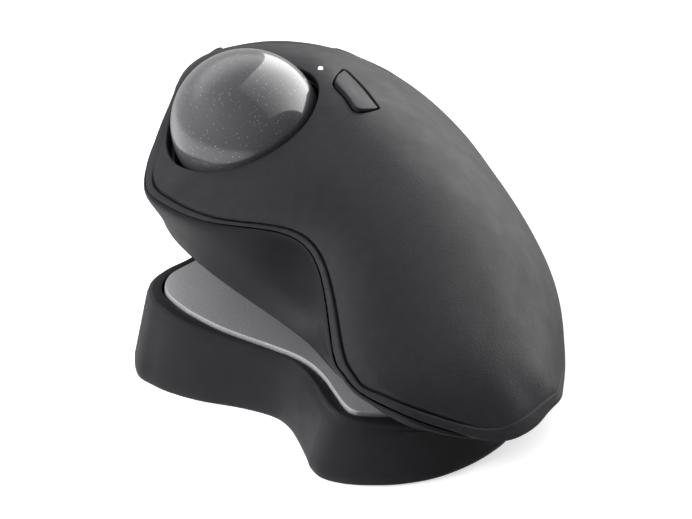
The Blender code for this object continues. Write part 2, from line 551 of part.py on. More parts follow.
def pill(l, w, n=5):
    """Rounded bar outline, long in y."""
    r = w / 2
    up = [(r * cos(pi * i / n), l / 2 - r + r * sin(pi * i / n)) for i in range(n + 1)]
    return up + [(-x, -y) for x, y in up]


SIDE = {  # name: (point on the surface, outward normal, outline, direction of its length)
    "back_button": ((-27.9, 38.2, 31.6), (-0.80, 0.32, 0.50), pill(8.4, 4.6), (0.55, 0.75, 0.2)),
    "forward_button": ((-20.7, 46.9, 30.6), (-0.66, 0.52, 0.54), pill(8.4, 4.6), (0.65, 0.70, 0.1)),
}
for name, (p, n, outline, up) in SIDE.items():
    e = frame_at(p, n, up)
    cut(left_button, prism(name + "_slot", offset(outline, 0.7), -6, 6, loc=p, rot=e, cutter=True))
    cap = prism(name, outline, -2.6, 0.9, coat, loc=p, rot=e)
    bv = cap.modifiers.new("edge", 'BEVEL')
    bv.width = 0.5 * MM
    bv.segments = 2
    bv.limit_method = 'ANGLE'
    bv.angle_limit = radians(50)
    q = Vector(p) - Vector(n).normalized() * 5.2
    box(name.replace("button", "switch"), q - Vector((2.2, 2.2, 1.7)), q + Vector((2.2, 2.2, 1.7)), chip, rot=e, origin=q)

e = (0, 0, 0)
prec_n = Vector((-0.42, 0.0, 0.90)).normalized()
slot = offset(closed_spline(PRECISION, 20), 0.45)
cut(top_shell, prism("precision_slot", slot, 30, 60, cutter=True))
prec = top_skin("precision_button", coat, 3.2, -0.62)
cut(prec, prism("precision_outline", closed_spline(PRECISION, 20), 30, 60, cutter=True), 'INTERSECT')
q = Vector((-11.0, 0.3, 39.9))
box("precision_switch", q - Vector((2.6, 2.6, 1.6)), q + Vector((2.6, 2.6, 1.6)), chip, rot=(0, radians(-24), 0), origin=q)

channel_outline = [(x * 1.0 + WHEEL_C[0], y + 29.4) for x, y in [(b, a) for a, b in pill(5.6, 2.8)]]
cut(top_shell, prism("channel_slot", offset(channel_outline, 0.35), 36, 60, cutter=True))
chan = top_skin("channel_button", coat, 2.2, -0.88)
cut(chan, prism("channel_region", channel_outline, 36, 60, cutter=True), 'INTERSECT')
q = Vector((WHEEL_C[0], 29.4, 40.2))
box("channel_switch", q - Vector((2.4, 1.6, 1.4)), q + Vector((2.4, 1.6, 1.4)), chip, origin=q)

# light pipes
cut(top_shell, rod("led_bore_a", 0.85, 40, 60, loc=(-18.4, 9.2, 0), steps=10, cutter=True))
smooth(rod("precision_led", 0.55, 43.6, 46.0, led_white, loc=(-18.4, 9.2, 0), steps=10))
cut(top_shell, rod("led_bore_b", 0.75, 30, 60, loc=(WHEEL_C[0], 24.6, 0), steps=10, cutter=True))
smooth(rod("battery_led", 0.45, 43.0, 46.3, led_white, loc=(WHEEL_C[0], 24.6, 0), steps=8))

# ---- ball, cup, bearings, sensor -------------------------------------------
bm = bmesh.new()
bmesh.ops.create_uvsphere(bm, u_segments=28, v_segments=14, radius=BALL_R * MM)
smooth(finish(from_bm("trackball", bm), ball_mat, ball_frame))


def arc(r, a0, a1, n):
    return [(r * cos(radians(a0 + (a1 - a0) * i / n)), r * sin(radians(a0 + (a1 - a0) * i / n))) for i in range(n + 1)]


cup_profile = arc(CUP_OUT, -4.5, -62, 6) + arc(CUP_IN, -62, -4.5, 6)
cup = smooth(turned("ball_socket", cup_profile, black, ball_frame, steps=28))
for k in range(3):
    a = radians(90 + 120 * k)
    d = Vector((cos(a) * cos(radians(-40)), sin(a) * cos(radians(-40)), sin(radians(-40))))
    rot = d.to_track_quat('Z', 'Y').to_euler()
    cut(cup, rod("bearing_pocket_%d" % k, 1.65, 15, 22, parent=ball_frame, rot=rot, steps=10, cutter=True))
    bm = bmesh.new()
    bmesh.ops.create_uvsphere(bm, u_segments=10, v_segments=6, radius=1.25 * MM)
    smooth(finish(from_bm("bearing_ball_%d" % (k + 1), bm), ceramic, ball_frame, d * (BALL_R + 1.25 + 0.12)))
smooth(rod("sensor_lens", 4.2, -20.4, -18.6, clear, ball_frame, steps=16, chamfer=0.3))
box("optical_sensor", (-4.0, -5.5, -23.0), (4.0, 5.5, -20.8), chip, ball_frame)
box("sensor_board", (-8.0, -9.0, -24.6), (8.0, 9.0, -23.3), board, ball_frame)

# ---- scroll wheel -----------------------------------------------------------
wx, wy, wz = WHEEL_C
turn = (0, radians(90), 0)
h = WHEEL_W / 2
smooth(turned("scroll_wheel_tyre", [(9.6, h - 0.2), (10.6, h - 0.2), (WHEEL_R, h - 0.9), (WHEEL_R, -h + 0.9), (10.6, -h + 0.2), (9.6, -h + 0.2)],
              tyre, loc=WHEEL_C, rot=turn, steps=28))
smooth(turned("scroll_wheel_hub", [(1.6, 1.8), (3.2, 1.8), (3.4, 0.9), (7.6, 0.9), (7.9, h - 0.5), (9.3, h - 0.5), (9.3, -h + 0.5), (7.9, -h + 0.5), (7.6, -0.9), (3.4, -0.9), (3.2, -1.8), (1.6, -1.8)],
              casing, loc=WHEEL_C, rot=turn, steps=28))
smooth(rod("wheel_axle", 1.2, -6.4, 5.9, pin_steel, loc=WHEEL_C, rot=turn, steps=12))
yoke = box("wheel_yoke", (wx - 5.4, wy - 5, 18.4), (wx + 5.4, wy + 5, 34.0), black, bevel=0.4, origin=(wx, wy, TILT_PIN_Z))
cut(yoke, box("yoke_gap", (wx - 3.7, wy - 13, 19.9), (wx + 3.7, wy + 13, 50), cutter=True))
cut(yoke, rod("yoke_bore", 1.55, -9, 9, loc=WHEEL_C, rot=turn, steps=12, cutter=True))
cut(yoke, box("yoke_lug", (wx - 2.2, wy - 4, 15.3), (wx + 2.2, wy + 4, 18.9), cutter=True), 'UNION')
cut(yoke, rod("yoke_lug_bore", 1.3, -12, 12, loc=(wx, wy, TILT_PIN_Z), rot=(radians(90), 0, 0), steps=12, cutter=True))
smooth(rod("wheel_tilt_pin", 1.0, -7.5, 7.5, pin_steel, loc=(wx, wy, TILT_PIN_Z), rot=(radians(90), 0, 0), steps=12))
carrier = box("wheel_carrier", (wx - 6, wy - 15.5, 13.6), (wx + 6, wy + 9, 15.0), black, bevel=0.3)
for k, y in enumerate((wy - 7.0, wy + 7.0)):
    cut(carrier, box("carrier_ear_%d" % k, (wx - 2.6, y - 1.3, 14.5), (wx + 2.6, y + 1.3, 18.9), cutter=True), 'UNION')
cut(carrier, box("carrier_notch", (wx - 4.9, 44.7, 12), (wx + 4.9, 60, 14.3), cutter=True))
cut(carrier, rod("carrier_bore", 1.3, -12, 12, loc=(wx, wy, TILT_PIN_Z), rot=(radians(90), 0, 0), steps=12, cutter=True))
box("wheel_encoder", (wx + 6.3, wy - 3.5, 27.5), (wx + 9.3, wy + 3.5, 34.5), chip)

# ---- boards and electrics ---------------------------------------------------
box("main_board", (-12, -29.5, 8.6), (16, 47.5, 10.1), board)
main_board = bpy.data.objects["main_board"]
sw = box("switch_board", (-15, 38.5, 19.3), (31.2, 52.0, 20.7), board)
cut(sw, box("switch_board_gap", (wx - 9.5, 30, 15), (wx + 12.0, 50.8, 25), cutter=True))
for side, (x, y) in (("left", (-9.0, 48.5)), ("right", (27.0, 47.5))):
    body = box(side + "_switch", (x - 2.9, y - 5.2, 21.0), (x + 2.9, y + 3.4, 27.6), chip, bevel=0.3)
    cut(body, box(side + "_switch_pocket", (x - 1.0, y - 3.0, 26.4), (x + 1.0, y - 0.2, 30), cutter=True))
    box(side + "_switch_plunger", (x - 0.65, y - 2.6, 27.0), (x + 0.65, y - 0.6, 29.2), switch_red)
box("wheel_switch", (wx - 3, 30.5, 10.4), (wx + 3, 36.5, 12.9), chip, bevel=0.3)
socket = box("charging_socket", (wx - 4.4, 45.2, 10.4), (wx + 4.4, 55.4, 13.6), steel, bevel=0.3)
cut(socket, box("charging_cavity", (wx - 3.9, 46.5, 10.9), (wx + 3.9, 60, 13.1), cutter=True))
cut(lower_shell, box("charging_window", (wx - 5.0, 49, 10.1), (wx + 5.0, 70, 13.9), cutter=True))
box("battery", (-5.5, -59.5, 9.2), (18.2, -37.2, 14.4), foil, bevel=0.8)

# ---- underside details ------------------------------------------------------
smooth(rod("magnet_level", 6.0, COVER_THICK + 0.3, COVER_THICK + 3.3, magnet, loc=(-18, -10, 0), steps=20, chamfer=0.3))
th = radians(-BODY_ANGLE)
smooth(rod("magnet_tilted", 6.0, COVER_THICK + 0.3, COVER_THICK + 3.3, magnet,
           loc=(25 , -6, 25 * tan(radians(BODY_ANGLE))), rot=(0, th, 0), steps=20, chamfer=0.3))
cut(cover, box("power_slot", (-26.2, 6.0, -3), (-21.8, 15.4, 6), cutter=True))
knob = box("power_slider", (-25.7, 6.6, 0.5), (-22.3, 11.0, 2.6), led_white, bevel=0.3)
box("power_switch", (-26.5, 5.5, 3.2), (-21.5, 15.8, 6.0), chip)
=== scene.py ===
"""Looks of the trackball mouse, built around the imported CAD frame.

Lengths in the tables are millimetres in the mouse body's own frame, as in
the CAD source; everything is written to the scene in metres.
"""
import bpy
import bmesh
import json
from math import sin, cos, tan, pi, radians, sqrt
import numpy as np
from mathutils import Vector, Matrix, Quaternion
from mathutils.bvhtree import BVHTree


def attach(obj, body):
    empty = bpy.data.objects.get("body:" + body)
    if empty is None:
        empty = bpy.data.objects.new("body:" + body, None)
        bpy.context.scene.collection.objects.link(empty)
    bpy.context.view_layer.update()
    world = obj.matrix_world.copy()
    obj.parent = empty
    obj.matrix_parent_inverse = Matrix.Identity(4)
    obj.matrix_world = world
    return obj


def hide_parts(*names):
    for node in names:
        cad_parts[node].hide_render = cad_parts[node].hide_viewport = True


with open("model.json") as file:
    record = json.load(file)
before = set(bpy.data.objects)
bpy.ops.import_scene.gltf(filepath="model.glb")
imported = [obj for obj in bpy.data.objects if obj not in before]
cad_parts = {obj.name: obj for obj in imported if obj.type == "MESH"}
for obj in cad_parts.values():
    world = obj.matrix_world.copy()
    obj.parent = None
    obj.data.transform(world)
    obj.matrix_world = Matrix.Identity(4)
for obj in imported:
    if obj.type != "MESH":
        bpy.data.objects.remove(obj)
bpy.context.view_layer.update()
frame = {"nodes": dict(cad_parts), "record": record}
NODES = frame["nodes"]
MM = 0.001

RISER_ANGLE, BODY_ANGLE, RIDGE = 10.0, 20.0, 14.0
PLATE_GAP, PLATE_THICK, PAD_THICK, RIM_DROP = 0.25, 2.4, 0.8, 1.0
BALL_R, BALL_C, BALL_N, HOLE_R = 17.0, (-30.4, 6.0, 28.6), (-0.80, 0.02, 0.60), 18.3
CUP_IN, CUP_OUT = 17.8, 19.5
WHEEL_C, WHEEL_R, WHEEL_W = (9.0, 45.0, 31.4), 11.0, 6.0
PIVOT_Y, PIVOT_Z, SEAM_Y, SEAM = 32.0, 35.0, 34.0, 0.25
SPINE = (2.7, 15.3)

TOP = [
 [(-17,55,17),(-12,57,16),(-6,58.2,15.5),(0,58.8,15),(7,59,15),(14,59,15),(21,58.5,15),(29,57.5,15.5),(37,54.5,16.5),(44,50,19)],
 [(-20.5,51.5,20),(-17.5,54,23.5),(-12,55.5,26.5),(-6,56.3,29),(0,56.7,30.5),(7,56.8,31),(14,56.6,31),(24,55.5,29.5),(35,52.5,26),(46,46.5,20.5)],
 [(-25,47,21),(-23.5,48,26),(-20,49,30),(-14,50,33.5),(-7,50.5,36),(2,50.5,37.5),(12,50,38),(25,49.5,36),(37,47,31),(48,42,22)],
 [(-34,36.5,22),(-32.8,37.5,27.5),(-28.5,39,32),(-21.5,39.5,37),(-12,40,41),(-1,40,43.2),(12,40,43.3),(26,39.5,40.3),(40,38,33.5),(50.5,32,22.5)],
 [(-38.5,26,22),(-39.3,26.5,26),(-35,28,33),(-26,28,39.3),(-14,28,44),(-2,28,46.3),(12,28,45.8),(26,28,42.5),(41,27,35),(51.5,22,23)],
 [(-43.2,17,14.8),(-42,16.8,18.2),(-34,16.5,29),(-24,16,40.6),(-15.5,16,46.2),(-2,16,47.7),(12,16,46.6),(26,16,42.8),(41,16,35),(52,10,23)],
 [(-47.8,4,9),(-43.5,4,15.1),(-34,4,27.9),(-24,4,41.3),(-16,4,47),(-2,4,48),(12,4,46.3),(26,4,42),(41,4,33.8),(52,-1,22.3)],
 [(-46.8,-5,8.6),(-43,-5.5,15.4),(-34,-6.5,29.2),(-24.5,-6.5,40.8),(-16,-7,46.1),(-2,-7,47.8),(12,-7,45.9),(26,-8,41),(41,-9,32.3),(51.5,-12,21.5)],
 [(-40,-17,12),(-37,-19,18),(-30.5,-20,29),(-22,-20.5,37.3),(-13,-21,42.8),(-2,-21,45),(11,-21,43.6),(25,-21,39),(39.5,-22,30.8),(50,-22,20.8)],
 [(-28.5,-28.5,18.6),(-27,-31,23),(-22.5,-33,29),(-16,-34,34.5),(-8.5,-34.5,38.5),(0.5,-35,40),(12,-35,39),(25,-35,35),(38,-34,27.5),(46.3,-32,19.4)],
 [(-22.5,-39.5,14.8),(-21.5,-43,19.5),(-17.5,-46,24.5),(-12,-47.5,28.5),(-5,-48.5,31),(3,-49,32),(13,-48.5,31.5),(24,-47,28.5),(34.5,-45,23.8),(42.8,-41.5,17.4)],
 [(-20.8,-53,5.9),(-19,-56.5,11),(-14,-60,15.5),(-8,-62,18.5),(-1,-63,20.5),(6,-63,21.5),(14,-62,21.6),(23,-59.5,20.5),(31,-55.5,18.5),(39,-49.5,15.9)],
 [(-20,-59,4.2),(-15.5,-65,8),(-9,-68.5,10.5),(-1.5,-70,12),(6,-70.3,13),(13,-69.5,14),(19.5,-67,14.5),(25.5,-64,15),(30.5,-60,15.3),(36,-54.5,14.9)],
 [(-17.5,-64,3.2),(-11.5,-70.5,4),(-4,-73,4.3),(5,-74.3,4.9),(13,-74,5.8),(18.5,-72,7.8),(23.5,-68.8,9.8),(27,-65.5,11.3),(30.3,-62,12.7),(33.5,-58.5,14)],
]
FOOT_LEFT = [(-14,47),(-17.5,43.5),(-21.5,39),(-28,29.5),(-32.5,21),(-36,11.5),(-37.6,2),(-36.6,-7.5),
             (-30.5,-19.5),(-21.4,-29.9),(-16.4,-38),(-16,-47),(-13.8,-56.5),(-10.8,-62.8)]
FOOT_REAR = [(-6.5,-66.2),(-1.5,-68),(5,-68.8),(11,-68.4),(16,-66.5),(20,-63.6),(23,-60.4),(25.5,-57)]
FOOT_RIGHT = [(28,-53),(29.5,-49),(31,-45),(33.5,-38.5),(36.5,-31),(39.5,-23),(41.5,-14),(42.5,-4),
              (43,6),(43,17),(42.5,26),(41,35),(39.5,40),(38,44)]
FOOT_FRONT = [(32,49),(25,51),(18,51.8),(12,52.2),(6,52.2),(0,51.8),(-5,51),(-10,49.5)]
PLATE = [(-34.9,-1.6),(-34.4,-5),(-33.2,-9),(-31.2,-13.2),(-28.2,-18),(-24.2,-22.6),(-19.5,-27.2),
         (-15.6,-31.8),(-13.4,-36.6),(-12.6,-42),(-12.7,-49),(-12.7,-54),(-11.6,-56.6),(-8.5,-57.6),
         (-3,-58.3),(4,-58.4),(11,-57),(17,-54),(21.5,-49.5),(24.5,-43),(26.5,-34),(27.6,-24),
         (28.2,-12),(28.4,0),(28,11),(26,21),(21.5,28.5),(14,33),(5,33.3),(-3,29.5),(-10,23),
         (-17,17),(-24.8,11.6),(-30.7,7.2),(-33.9,2.6)]
RISER = [(-42.7,-2.4,-38.8,-2.5),(-41.2,-7.6,-38,-7.8),(-38.2,-12.8,-35.6,-13),(-33.1,-18.5,-31,-18.4),
         (-25.8,-24.5,-24.6,-24.3),(-20.8,-30,-19,-29.6),(-19,-34.6,-16.4,-34.2),(-18.8,-40.3,-15.6,-40),
         (-19.6,-48.4,-15.9,-48),(-20.2,-52.7,-16,-52.5),(-19.4,-56.7,-14.9,-56.6),(-16.2,-60.2,-12,-59.6),
         (-11.6,-62.9,-8,-61.4),(-4.5,-65.4,-2,-63),(3.8,-66.1,4,-63.4),(12.3,-64.4,11,-61.8),
         (19.6,-61.3,17.5,-58.6),(25,-57.5,22.8,-54.5),(29,-51,26.4,-48),(31.5,-42,28.8,-40),
         (33,-31,30.4,-30),(34,-19,31.4,-18.5),(34.5,-6,32,-6),(34.5,7,32,6.5),(33,19,30.5,17.8),
         (28.8,29,26.5,27.3),(21.5,36.8,20,34.5),(12,40,11.5,37.5),(1.5,38.5,2,36),(-8.5,33,-6.8,30.6),
         (-17.5,25.5,-15.2,22.8),(-26,19,-23.4,16),(-34,12.6,-30.8,10.9),(-39.8,6.2,-36.4,5)]
PRECISION = [(-12.3,9.8),(-12.9,9.2),(-14.3,7.2),(-16.7,3.8),(-18.6,0.4),(-18.85,-0.7),(-18.7,-2.9),(-18.1,-5.9),(-17.55,-9.2),
             (-17.1,-10.2),(-16.3,-10.6),(-14.5,-10.2),(-12.4,-9.2),(-11.45,-8.5),(-11.3,-7.9),(-11.5,-6.2),(-11.75,-1.8),
             (-11.85,2.8),(-11.9,8),(-11.95,9.3)]


def frame_matrix(loc, rot):
    return Matrix.Translation(Vector(loc) * MM) @ rot.to_4x4()


MOUSE = frame_matrix((0, 0, RIDGE), Matrix.Rotation(radians(RISER_ANGLE + BODY_ANGLE), 3, 'Y'))
PLATE_F = frame_matrix((0, 0, RIDGE - PLATE_GAP), Matrix.Rotation(radians(RISER_ANGLE), 3, 'Y'))
BALL_F = MOUSE @ frame_matrix(BALL_C, Vector(BALL_N).to_track_quat('Z', 'Y').to_matrix())
WORLD = Matrix.Identity(4)


# ---- materials --------------------------------------------------------------
def principled(name, color, rough, metal=0.0, spec=0.5, coat=0.0, coat_rough=0.1, ior=None, sheen=0.0):
    m = bpy.data.materials.new(name)
    m.use_nodes = True
    nt = m.node_tree
    b = nt.nodes["Principled BSDF"]
    b.inputs["Base Color"].default_value = (*color, 1)
    b.inputs["Roughness"].default_value = rough
    b.inputs["Metallic"].default_value = metal
    b.inputs["Specular IOR Level"].default_value = spec
    b.inputs["Coat Weight"].default_value = coat
    b.inputs["Coat Roughness"].default_value = coat_rough
    b.inputs["Sheen Weight"].default_value = sheen
    if ior:
        b.inputs["IOR"].default_value = ior
    return m, nt, b


def node(nt, kind, **vals):
    n = nt.nodes.new(kind)
    for k, v in vals.items():
        if k.startswith("_"):
            setattr(n, k[1:], v)
        else:
            n.inputs[k.replace("_", " ")].default_value = v
    return n


def coords(nt):
    return nt.nodes.new("ShaderNodeTexCoord").outputs["Object"]


def vary_color(nt, b, co, color, spread, scale, detail=3.0):
    """Slight uneven tone of the moulded colour."""
    n = node(nt, "ShaderNodeTexNoise", Scale=scale, Detail=detail, Roughness=0.55)
    nt.links.new(co, n.inputs["Vector"])
    r = nt.nodes.new("ShaderNodeValToRGB")
    r.color_ramp.elements[0].position, r.color_ramp.elements[1].position = 0.3, 0.7
    r.color_ramp.elements[0].color = (*[c * (1 - spread) for c in color], 1)
    r.color_ramp.elements[1].color = (*[c * (1 + spread) for c in color], 1)
    nt.links.new(n.outputs["Fac"], r.inputs["Fac"])
    nt.links.new(r.outputs["Color"], b.inputs["Base Color"])
    return r


def vary_rough(nt, b, co, lo, hi, scale):
    n = node(nt, "ShaderNodeTexNoise", Scale=scale, Detail=4.0, Roughness=0.6)
    nt.links.new(co, n.inputs["Vector"])
    r = nt.nodes.new("ShaderNodeMapRange")
    r.inputs["From Min"].default_value, r.inputs["From Max"].default_value = 0.3, 0.7
    r.inputs["To Min"].default_value, r.inputs["To Max"].default_value = lo, hi
    nt.links.new(n.outputs["Fac"], r.inputs["Value"])
    nt.links.new(r.outputs["Result"], b.inputs["Roughness"])


def grain(nt, b, co, scale, depth, strength=1.0, cells=0.0, cell_scale=1500.0, scratches=0.0):
    """Fine relief: noise of the given scale, with leather-like cells if asked."""
    n = node(nt, "ShaderNodeTexNoise", Scale=scale, Detail=2.0, Roughness=0.5)
    nt.links.new(co, n.inputs["Vector"])
    height = n.outputs["Fac"]
    if cells:
        warp = node(nt, "ShaderNodeTexNoise", Scale=cell_scale * 0.5, Detail=1.0)
        nt.links.new(co, warp.inputs["Vector"])
        add = node(nt, "ShaderNodeVectorMath", _operation='MULTIPLY_ADD')
        add.inputs[1].default_value = (0.0006, 0.0006, 0.0006)
        nt.links.new(warp.outputs["Color"], add.inputs[0])
        nt.links.new(co, add.inputs[2])
        v = node(nt, "ShaderNodeTexVoronoi", Scale=cell_scale, _feature='SMOOTH_F1', Smoothness=0.6)
        nt.links.new(add.outputs["Vector"], v.inputs["Vector"])
        mix = node(nt, "ShaderNodeMath", _operation='MULTIPLY_ADD')
        mix.inputs[1].default_value = cells
        nt.links.new(v.outputs["Distance"], mix.inputs[0])
        nt.links.new(height, mix.inputs[2])
        height = mix.outputs["Value"]
    if scratches:
        w = node(nt, "ShaderNodeTexNoise", Scale=90.0, Detail=6.0, Roughness=0.75)
        nt.links.new(co, w.inputs["Vector"])
        mix = node(nt, "ShaderNodeMath", _operation='MULTIPLY_ADD')
        mix.inputs[1].default_value = scratches
        nt.links.new(w.outputs["Fac"], mix.inputs[0])
        nt.links.new(height, mix.inputs[2])
        height = mix.outputs["Value"]
    bump = node(nt, "ShaderNodeBump", Strength=strength, Distance=depth)
    nt.links.new(height, bump.inputs["Height"])
    nt.links.new(bump.outputs["Normal"], b.inputs["Normal"])


def plastic(name, color, rough, spread=0.12, scale=260.0, depth=0.00003, gscale=2600.0, cells=0.0, cell_scale=1500.0, **kw):
    m, nt, b = principled(name, color, rough, **kw)
    co = coords(nt)
    vary_color(nt, b, co, color, spread, scale)
    vary_rough(nt, b, co, rough - 0.05, rough + 0.05, 140.0)
    grain(nt, b, co, gscale, depth, cells=cells, cell_scale=cell_scale)
    return m


def metal(name, color, rough, depth=0.00001, gscale=7000.0, spread=0.06, metallic=1.0, tone=900.0):
    m, nt, b = principled(name, color, rough, metal=metallic)
    co = coords(nt)
    vary_color(nt, b, co, color, spread, tone)
    vary_rough(nt, b, co, rough - 0.05, rough + 0.06, 300.0)
    grain(nt, b, co, gscale, depth)
    return m


coat = plastic("soft_touch_coat", (0.0190, 0.0190, 0.0225), 0.52, 0.10, 420.0, 0.00003, 3000.0, cells=0.9, cell_scale=2100.0, spec=0.36)
casing = plastic("casing_plastic", (0.0085, 0.0085, 0.0106), 0.36, 0.10, 300.0, 0.000006, 3600.0, spec=0.4)
rubber = plastic("riser_rubber", (0.0125, 0.0125, 0.0152), 0.48, 0.12, 300.0, 0.000012, 3200.0, spec=0.4)
pad = plastic("pad_rubber", (0.016, 0.016, 0.017), 0.8, 0.15, 500.0, 0.00006, 1600.0)
tyre = plastic("tyre_rubber", (0.018, 0.018, 0.019), 0.65, 0.12, 500.0, 0.00003, 2600.0)
nylon = plastic("black_nylon", (0.012, 0.012, 0.013), 0.45, 0.15, 400.0, 0.00003, 2200.0)
chip = plastic("switch_black", (0.015, 0.015, 0.016), 0.4, 0.1, 500.0, 0.00002, 3000.0)
board = plastic("board_green", (0.006, 0.022, 0.012), 0.35, 0.2, 220.0, 0.00002, 1500.0)
foil = plastic("cell_wrap", (0.35, 0.36, 0.38), 0.3, 0.06, 200.0, 0.00003, 900.0)
white = plastic("slider_white", (0.72, 0.72, 0.7), 0.4, 0.04, 300.0, 0.00001, 3000.0)
ceramic = plastic("bearing_ceramic", (0.8, 0.79, 0.75), 0.12, 0.03, 200.0, 0.000002, 2000.0)
lens = plastic("lens_clear", (0.25, 0.28, 0.31), 0.08, 0.04, 200.0, 0.000002, 2000.0)
red = plastic("plunger_red", (0.42, 0.03, 0.02), 0.4, 0.1, 400.0, 0.00001, 3000.0)
steel = metal("blasted_steel", (0.76, 0.76, 0.79), 0.5, 0.00003, 4200.0, 0.16, 0.7, 3400.0)
bright = metal("bright_steel", (0.62, 0.62, 0.64), 0.22, 0.000004, 3000.0)
nickel = metal("nickel_plate", (0.6, 0.58, 0.54), 0.28, 0.000006, 2500.0)


def ball_material():
    """Dark pearl body with sparse bright flecks under a clear polished skin."""
    base = (0.078, 0.078, 0.084)
    m, nt, b = principled("pearl_ball", base, 0.28, metal=0.25, spec=0.5, coat=1.0, coat_rough=0.015)
    b.inputs["Coat IOR"].default_value = 1.9
    co = coords(nt)
    body = vary_color(nt, b, co, base, 0.06, 90.0, 0.0)
    v = node(nt, "ShaderNodeTexVoronoi", Scale=3000.0, _feature='F1', Randomness=1.0)
    nt.links.new(co, v.inputs["Vector"])
    near = nt.nodes.new("ShaderNodeMapRange")
    near.inputs["From Min"].default_value, near.inputs["From Max"].default_value = 0.30, 0.16
    near.inputs["To Min"].default_value, near.inputs["To Max"].default_value = 0.0, 1.0
    nt.links.new(v.outputs["Distance"], near.inputs["Value"])
    sep = nt.nodes.new("ShaderNodeSeparateColor")
    nt.links.new(v.outputs["Color"], sep.inputs["Color"])
    few = nt.nodes.new("ShaderNodeMapRange")
    few.inputs["From Min"].default_value, few.inputs["From Max"].default_value = 0.84, 0.96
    nt.links.new(sep.outputs["Red"], few.inputs["Value"])
    f = node(nt, "ShaderNodeMath", _operation='MULTIPLY')
    nt.links.new(near.outputs["Result"], f.inputs[0])
    nt.links.new(few.outputs["Result"], f.inputs[1])
    mix = nt.nodes.new("ShaderNodeMix")
    mix.data_type = 'RGBA'
    nt.links.new(f.outputs["Value"], mix.inputs["Factor"])
    nt.links.new(body.outputs["Color"], mix.inputs["A"])
    mix.inputs["B"].default_value = (0.55, 0.55, 0.57, 1)
    nt.links.new(mix.outputs["Result"], b.inputs["Base Color"])
    return m


def glow_material(name, strength):
    m, nt, b = principled(name, (0.8, 0.8, 0.78), 0.3)
    co = coords(nt)
    vary_rough(nt, b, co, 0.25, 0.35, 900.0)
    grain(nt, b, co, 4000.0, 0.000004)
    b.inputs["Emission Color"].default_value = (1, 1, 1, 1)
    b.inputs["Emission Strength"].default_value = strength
    return m


pearl = ball_material()
glow = glow_material("light_pipe_lit", 1.6)
pipe = glow_material("light_pipe", 0.15)

SLOT_MATERIAL = {
    "coated_shell": coat, "casing_plastic": casing, "riser_rubber": rubber, "pad_rubber": pad, "plate_steel": steel,
    "pin_steel": bright, "ball_gloss": pearl, "black_nylon": nylon, "bearing_ceramic": ceramic, "lens_clear": lens,
    "switch_black": chip, "board_green": board, "cell_foil": foil, "magnet_nickel": nickel, "light_pipe": pipe,
    "slider_white": white, "plunger_red": red, "tyre_rubber": tyre, "socket_steel": nickel,
}
for sub in frame["record"]["subparts"]:
    ob = NODES.get(sub["node"])
    if ob is None:
        continue
    mat = SLOT_MATERIAL[sub["material_slot"]]
    if not ob.data.materials:
        ob.data.materials.append(mat)
    for k in range(len(ob.material_slots)):
        ob.material_slots[k].material = mat
NODES["precision_led"].material_slots[0].material = glow
for name, ob in NODES.items():
    ob.data.shade_smooth()
    ob.data.set_sharp_from_angle(angle=radians(38))


# ---- mesh helpers -----------------------------------------------------------
def make(name, verts, faces, mat, space=MOUSE, angle=40, link=True):
    """Mesh object from points in mm of the given space, written in world metres."""
    me = bpy.data.meshes.new(name)
    m = np.array(space)
    v = np.asarray(verts, float) * MM
    v = v @ m[:3, :3].T + m[:3, 3]
    me.from_pydata(v.tolist(), [], faces if isinstance(faces, list) else faces.tolist())
    me.update()
    bm = bmesh.new()
    bm.from_mesh(me)
    bmesh.ops.recalc_face_normals(bm, faces=bm.faces)
    bm.to_mesh(me)
    bm.free()
    ob = bpy.data.objects.new(name, me)
    bpy.context.scene.collection.objects.link(ob)
    if mat is not None:
        me.materials.append(mat)
    me.shade_smooth()
    me.set_sharp_from_angle(angle=radians(angle))
    return ob


def loft_faces(k, n, start=0, closed=True):
    f = []
    for a in range(k - 1):
        for i in range(n if closed else n - 1):
            j = (i + 1) % n
            f.append((start + a * n + i, start + a * n + j, start + (a + 1) * n + j, start + (a + 1) * n + i))
    return f


def loft(name, rings, mat, space=MOUSE, caps=True, wrap=False, angle=40):
    """Skin over a row of closed rings with the same number of points."""
    n, k = len(rings[0]), len(rings)
    verts = np.concatenate([np.asarray(r, float) for r in rings])
    faces = loft_faces(k, n)
    if wrap:
        faces += [((k - 1) * n + i, (k - 1) * n + (i + 1) % n, (i + 1) % n, i) for i in range(n)]
    elif caps:
        faces += [tuple(range(n)), tuple(range((k - 1) * n, k * n))]
    return make(name, verts, faces, mat, space, angle)


def turned(name, profile, mat, space, steps=96, closed=True, angle=40, ripple=None):
    """Profile [(r, z)] turned about Z of the space."""
    rings = []
    for q in range(steps):
        a = 2 * pi * q / steps
        rings.append([((r + (ripple(a, r, z) if ripple else 0)) * cos(a), (r + (ripple(a, r, z) if ripple else 0)) * sin(a), z) for r, z in profile])
    n, k = len(profile), steps
    faces = []
    for a in range(k):
        for i in range(n if closed else n - 1):
            j, c = (i + 1) % n, (a + 1) % k
            faces.append((a * n + i, a * n + j, c * n + j, c * n + i))
    ob = make(name, np.concatenate([np.array(r) for r in rings]), faces, mat, space, angle)
    bm = bmesh.new()
    bm.from_mesh(ob.data)
    bmesh.ops.remove_doubles(bm, verts=bm.verts, dist=1e-6)
    bmesh.ops.recalc_face_normals(bm, faces=bm.faces)
    bm.to_mesh(ob.data)
    bm.free()
    ob.data.shade_smooth()
    ob.data.set_sharp_from_angle(angle=radians(angle))
    return ob


def closed_spline(points, n):
    P = np.array(points, float)
    k = len(P)
    out = []
    for q in range(n):
        u = q * k / n
        i, t = int(u) % k, u - int(u)
        a, b, c, d = P[(i - 1) % k], P[i], P[(i + 1) % k], P[(i + 2) % k]
        out.append(0.5 * (2 * b + (c - a) * t + (2 * a - 5 * b + 4 * c - d) * t * t + (3 * b - a - 3 * c + d) * t ** 3))
    return np.array(out)


